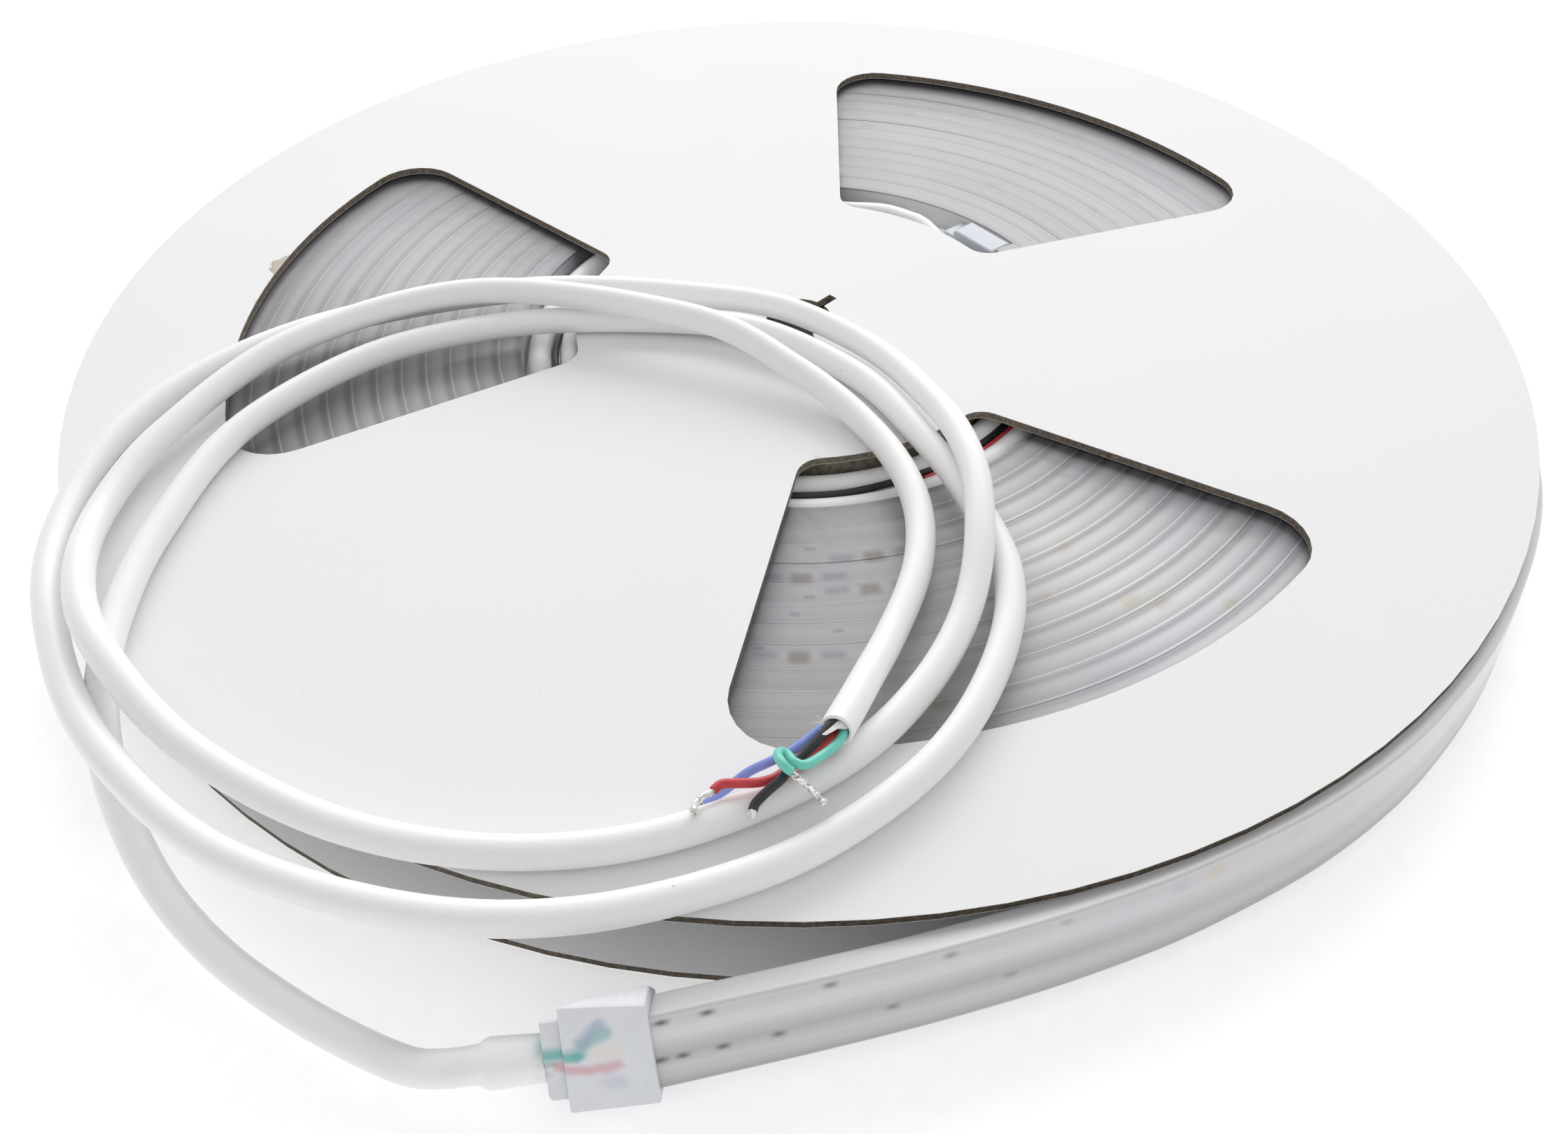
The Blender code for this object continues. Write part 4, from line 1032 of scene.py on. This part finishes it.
def boot(finish, cable_start):
    """A short sleeve that steps down to the cable in a cone, with a mould nub below."""
    start, along, out, up = cap_frame()
    neck_end = start + along * (CAP_END + NECK_REACH - 0.1 * MM) + up * (CAP_SHIFT - BOOT_DROP)
    run = cable_start - neck_end
    whole = run.length
    length = whole - BOOT_SHORT
    forward = run.normalized()
    side = (out - forward * out.dot(forward)).normalized()
    high = side.cross(forward).normalized()
    if high.dot(up) < 0.0:
        high = -high
    shape = bmesh.new()
    layer = shape.verts.layers.float_vector.new("place")
    cable_radius = CABLE_DIAMETER / 2.0
    near, wide = BOOT_RADII
    step_down = length - BOOT_CONE
    profile = (
        (0.0, near - 0.2 * MM), (0.2 * MM, near), (length * 0.35, (near + wide) / 2.0 - 0.02 * MM),
        (step_down - 0.5 * MM, wide - 0.03 * MM), (step_down, wide),
        (step_down + 0.45 * MM, wide - 0.10 * MM),
        (length - BOOT_CONE * 0.45, cable_radius + 0.55 * MM),
        (length - 0.2 * MM, cable_radius + 0.12 * MM), (length + 0.2 * MM, cable_radius + 0.06 * MM),
        (whole + BOOT_LIP, cable_radius + 0.04 * MM), (whole + BOOT_LIP, cable_radius - 0.2 * MM),
    )
    rows = []
    for ahead, radius in profile:
        row = []
        for step in range(BOOT_SIDES):
            turn = 2.0 * math.pi * step / BOOT_SIDES
            below = max(0.0, -math.sin(turn)) ** 24
            nub = BOOT_NUB * below * math.exp(-((ahead - step_down) / (0.7 * MM)) ** 2)
            offset = (side * math.cos(turn) + high * math.sin(turn)) * (radius + nub)
            corner = shape.verts.new(neck_end + forward * ahead + offset)
            corner[layer] = (CAP_END + NECK_REACH + ahead, offset.dot(out),
                             offset.dot(up) + CAP_SHIFT - BOOT_DROP)
            row.append(corner)
        rows.append(row)
    loft(shape, rows)
    made = add_piece("boot_sleeve", shape, finish, smooth=60.0)
    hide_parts("cable_boot")


# Cables


def supply_cable(finish):
    """The cable on its route, a little higher past the spindle hole and open at its end."""
    points = spline_points(from_axis(CABLE_ROUTE), CABLE_STATIONS)
    hump = AXIS + Vector(SPINDLE_HUMP) * MM
    for point in points:
        away = math.hypot(point.x - hump.x, point.y - hump.y)
        point.z += SPINDLE_LIFT * math.exp(-(away / SPINDLE_HUMP_REACH) ** 2)
    lengths = distances(points)
    for point, travelled in zip(points, lengths):
        point.x += END_SWING * smoothstep(1.0 - (lengths[-1] - travelled) / END_SWING_LENGTH)
    points.append(points[-1] + (points[-1] - points[-3]).normalized() * JACKET_REACH)
    shape = bmesh.new()
    tube_shape(shape, points, CABLE_DIAMETER / 2.0, sides=28, bore=CABLE_BORE,
               bore_depth=CABLE_BORE_DEPTH, wobble=CABLE_WOBBLE)
    made = add_piece("supply_cable_jacket", shape, finish)
    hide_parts("supply_cable")
    return made, points


def stripped_wires(finishes, metal):
    """The four cores, each from inside the jacket to its tinned tip."""
    pieces = []
    for colour, (route, tip) in WIRES.items():
        outside = from_axis(route)
        inside = outside[0] + (outside[0] - outside[1]) * 2.2
        points = spline_points([inside] + outside, count=60)
        shape = bmesh.new()
        tube_shape(shape, points, WIRE_DIAMETER / 2.0, sides=18,
                   bore=CONDUCTOR_DIAMETER / 2.0 + 0.02 * MM, bore_depth=0.8 * MM)
        skin = add_piece("core_" + colour, shape, finishes[colour])
        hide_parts("wire_" + colour)
        strands = twisted_tip("tip_" + colour, points[-1], from_axis(tip), metal)
        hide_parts("conductor_" + colour)
        pieces += [skin, strands]
    return pieces


def twisted_tip(name, root, route, metal):
    """Tinned strands twisted round each other and soldered into lumps, with a fuller end."""
    start = root + (root - route[0]) * 0.6
    centre = spline_points([start] + route, count=72)
    frames = travel_frames(centre)
    lengths = distances(centre)
    shape = bmesh.new()
    half = CONDUCTOR_DIAMETER / 2.0
    for number in range(STRANDS):
        points = []
        radii = []
        for point, (side, up, _), travelled in zip(centre, frames, lengths):
            left = lengths[-1] - travelled
            lump = 0.86 + 0.30 * noise.noise(point * 900.0)
            end = 0.35 * math.exp(-((left - 0.25 * MM) / (0.45 * MM)) ** 2)
            radius = half * STRAND_SHARE * (lump + end)
            turn = 2.0 * math.pi * number / STRANDS + travelled / (0.42 * MM)
            points.append(point + (side * math.cos(turn) + up * math.sin(turn)) * radius)
            radii.append(radius)
        strand_shape(shape, points, radii)
    return add_piece(name, shape, metal)


def strand_shape(shape, points, radii, sides=8):
    """A tube of changing radius with rounded ends."""
    rows = []
    count = len(points)
    for index, (side, up, _) in enumerate(travel_frames(points)):
        edge = min(index, count - 1 - index)
        size = radii[index] * ((0.35, 0.75, 0.93)[edge] if edge < 3 else 1.0)
        rows.append([shape.verts.new(points[index] + out * size) for out in round_about(side, up, sides)])
    loft(shape, rows)


def fibre_tufts(name, tufts, finish, seed):
    """Fine torn fibres: each tuft has its root, direction, length and number of fibres."""
    chance = random.Random(seed)

    def scatter(lowest, highest):
        return Vector((chance.uniform(-1, 1), chance.uniform(-1, 1), chance.uniform(lowest, highest)))

    shape = bmesh.new()
    for root, direction, length, number in tufts:
        for _ in range(number):
            way = (direction + scatter(-0.3, 1) * 0.55).normalized()
            own = length * chance.uniform(0.45, 1.0)
            curl = scatter(-0.4, 0.8) * own * 0.35
            begin = root + scatter(-0.3, 0.6) * length * 0.2
            points = [begin + way * own * share + curl * share ** 2
                      for share in (0.0, 0.25, 0.5, 0.75, 1.0)]
            strand_shape(shape, points, [FIBRE_RADIUS] * len(points), sides=5)
    made = add_piece(name, shape, finish)
    return made


def ragged_sheet(name, rows, thickness, finish):
    """A small torn sheet from rows of points, given a thickness downwards."""
    shape = bmesh.new()
    grid = [[shape.verts.new(point) for point in row] for row in rows]
    for near, far in zip(grid, grid[1:]):
        for index in range(len(near) - 1):
            shape.faces.new((near[index], near[index + 1], far[index + 1], far[index]))
    bmesh.ops.recalc_face_normals(shape, faces=shape.faces[:])
    bmesh.ops.solidify(shape, geom=shape.faces[:], thickness=thickness)
    made = add_piece(name, shape, finish, smooth=60.0)
    return made


def cable_filler(finish):
    """Torn white filler at the cable's stripped end, and its loose fibres."""
    rows = [from_axis(row) for row in FILLER_ROWS]
    sheet = ragged_sheet("cable_filler", rows, FILLER_THICKNESS, finish)
    root = from_axis([CABLE_TUFT])[0]
    way = Vector((-0.9, -0.25, 0.1))
    tuft = fibre_tufts("cable_fibres", [(root, way, *CABLE_FIBRES)], finish, seed=5)
    return [sheet, tuft]


def torn_board(finish):
    """A torn scrap and frayed fibres at the board's cut edges."""
    top = REEL_TOP + 0.05 * MM
    rows = []
    for row in range(SCRAP_ROWS + 1):
        azimuth = SCRAP_AZIMUTH + SCRAP_SPAN * row / SCRAP_ROWS
        swell = math.sin(math.pi * row / SCRAP_ROWS) * (1.0 + 0.25 * math.sin(row * 2.3)) * MM
        rows.append([polar(SCRAP_RADIUS + out * swell, azimuth, top + high * swell)
                     for out, high in ((0.0, 0.0), (1.1, 0.32), (2.1, 0.1))])
    liner = plain("torn_liner", (0.62, 0.56, 0.49), 0.9)
    ragged_sheet("torn_scrap", rows, SCRAP_THICKNESS, liner)
    tufts = []
    for radius, azimuth, length, number in EDGE_TUFTS:
        root = polar(radius * MM, azimuth, REEL_TOP)
        inward = AXIS - root
        inward.z = 0.0
        tufts.append((root, inward.normalized() * 0.6 + UP * 0.5, length * MM, number))
    fibre_tufts("torn_fibres", tufts, finish, seed=11)


def inner_cable_points(count):
    """Four turns in two lanes, two low and two high. Past the inner cap the upper turn rises and
    moves outwards. Each key is an azimuth, a radius and a height."""
    middle_radius = inner_cap_radius()
    reach = CAP_LENGTH / 2.0 + NECK_LENGTH
    start = INNER_CAP_AZIMUTH + math.degrees(math.atan(reach / middle_radius)) + 1.0
    keys = (
        (start, math.hypot(middle_radius, reach), MIDDLE_Z), (start + 36.0, OUTER_LANE, LANE_LOW),
        (322.0, OUTER_LANE, LANE_LOW), (384.0, INNER_LANE, LANE_LOW), (690.0, INNER_LANE, LANE_LOW),
        (750.0, INNER_LANE, LANE_HIGH), (1105.0, INNER_LANE, LANE_HIGH), (1126.0, 46.5 * MM, 10.4 * MM),
        (1139.0, 49.7 * MM, 11.5 * MM), (1146.0, 50.4 * MM, 11.4 * MM), (1158.0, 51.2 * MM, 10.0 * MM),
        (1182.0, OUTER_LANE, LANE_HIGH), (INNER_CABLE_END, OUTER_LANE, LANE_HIGH),
    )
    points = []
    for index in range(count):
        azimuth = start + (INNER_CABLE_END - start) * index / (count - 1)
        key = max(k for k in range(len(keys) - 1) if keys[k][0] <= azimuth)
        before, after = keys[key:key + 2]
        share = smoothstep((azimuth - before[0]) / (after[0] - before[0]))
        radius = before[1] + (after[1] - before[1]) * share
        points.append(polar(radius, azimuth, before[2] + (after[2] - before[2]) * share))
    return points


def inner_cap_radius():
    low, high = (Vector(corner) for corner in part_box("inner_end_cap"))
    return ((low + high) / 2.0 - AXIS).dot(heading_vector(INNER_CAP_AZIMUTH))


def inner_cable(finish, finishes):
    """The cable round the hub, and two of its cores tucked into the groove between its turns."""
    shape = bmesh.new()
    tube_shape(shape, inner_cable_points(CABLE_STATIONS), CABLE_DIAMETER / 2.0 - 0.05 * MM,
               sides=24, wobble=CABLE_WOBBLE)
    made = add_piece("inner_cable_jacket", shape, finish)
    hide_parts("inner_cable")
    groove = (INNER_LANE + OUTER_LANE) / 2.0
    aside = (WIRE_DIAMETER + 0.3 * MM) / 2.0
    high = LANE_HIGH + WIRE_LIFT_PAIR
    low = LANE_HIGH + WIRE_LIFT_SINGLE
    black = [polar(groove - aside, degrees, high) for degrees in (340.0, 326.0, 312.0, 300.0)]
    black += [polar(groove, degrees, low) for degrees in (278.0, 256.0, 233.0, 210.0, 188.0, 166.0)]
    red = [polar(groove + aside, degrees, high) for degrees in (338.0, 324.0, 310.0, 297.0)]
    for colour, route, count in (("black", black, 140), ("red", red, 50)):
        shape = bmesh.new()
        tube_shape(shape, spline_points(route, count), WIRE_DIAMETER / 2.0, sides=14)
        core = add_piece("inner_core_" + colour, shape, finishes[colour])
        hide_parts("inner_wire_" + colour)


# Studio


def studio():
    """A pale floor, even light from all round, and a window behind the reel."""
    shape = bmesh.new()
    bmesh.ops.create_grid(shape, x_segments=1, y_segments=1, size=FLOOR_SIZE)
    paper = plain("studio_paper", (0.97, 0.97, 0.97), 0.9)
    glow = paper.node_tree.nodes["Principled BSDF"]
    glow.inputs["Emission Color"].default_value = (1.0, 1.0, 1.0, 1.0)
    glow.inputs["Emission Strength"].default_value = FLOOR_GLOW
    floor = add_piece("studio_floor", shape, paper, None, None)
    floor.location = (0.0, 0.0, -0.05 * MM)

    bpy.context.scene.view_settings.view_transform = "Standard"
    world = bpy.data.worlds.new("studio_world")
    bpy.context.scene.world = world
    world.use_nodes = True
    back = world.node_tree.nodes["Background"]
    back.inputs["Color"].default_value = (1.0, 1.0, 1.0, 1.0)
    back.inputs["Strength"].default_value = WORLD_LIGHT

    data = bpy.data.lights.new("back_window", "AREA")
    data.shape = "RECTANGLE"
    data.size, data.size_y = WINDOW_LIGHT_SIZE
    data.energy = WINDOW_LIGHT_POWER
    lamp = bpy.data.objects.new("back_window", data)
    bpy.context.scene.collection.objects.link(lamp)
    lamp.location = WINDOW_LIGHT_PLACE
    lamp.rotation_euler = (AXIS - Vector(WINDOW_LIGHT_PLACE)).to_track_quat("-Z", "Y").to_euler()


def camera():
    data = bpy.data.cameras.new("view_camera")
    made = bpy.data.objects.new("view_camera", data)
    bpy.context.scene.collection.objects.link(made)
    turn = Matrix((CAMERA_RIGHT, CAMERA_UP, -Vector(CAMERA_FORWARD))).transposed().to_4x4()
    made.matrix_world = Matrix.Translation(from_axis([CAMERA_PLACE])[0]) @ turn
    data.sensor_fit = "HORIZONTAL"
    data.sensor_width = 36.0
    data.lens = CAMERA_LENS
    data.shift_x = CAMERA_SHIFT
    data.clip_start = 0.01
    bpy.context.scene.camera = made


camera()
studio()

board = coated_board()
for name in ("top_flange", "bottom_flange"):
    NODES[name].data.materials[0] = board
NODES["hub_core"].data.materials[0] = grey_board()
NODES["inner_end_cap"].data.materials[0] = cap_block()
jacket = cable_jacket()
NODES["led_tape"].data.materials[0] = plain("circuit_mask", (0.80, 0.80, 0.77), 0.5)

skins = {
    "blue": wire_skin("blue_skin", (0.23, 0.30, 0.72), (0.30, 0.38, 0.84)),
    "red": wire_skin("red_skin", (0.50, 0.03, 0.04), (0.66, 0.06, 0.07)),
    "black": wire_skin("black_skin", (0.015, 0.015, 0.017), (0.035, 0.035, 0.04)),
    "green": wire_skin("green_skin", (0.14, 0.58, 0.48), (0.22, 0.72, 0.60)),
}
metal = tinned_metal()

cable, cable_line = supply_cable(jacket)
cores = stripped_wires(skins, metal)
torn = plain("torn_white", (0.92, 0.92, 0.91), 0.8)
loose = cable_filler(torn)
inner_cable(jacket, skins)
strip(frosted_sleeve())
outer_cap(milky_silicone())
boot(boot_skin(), cable_line[0])
torn_board(torn)
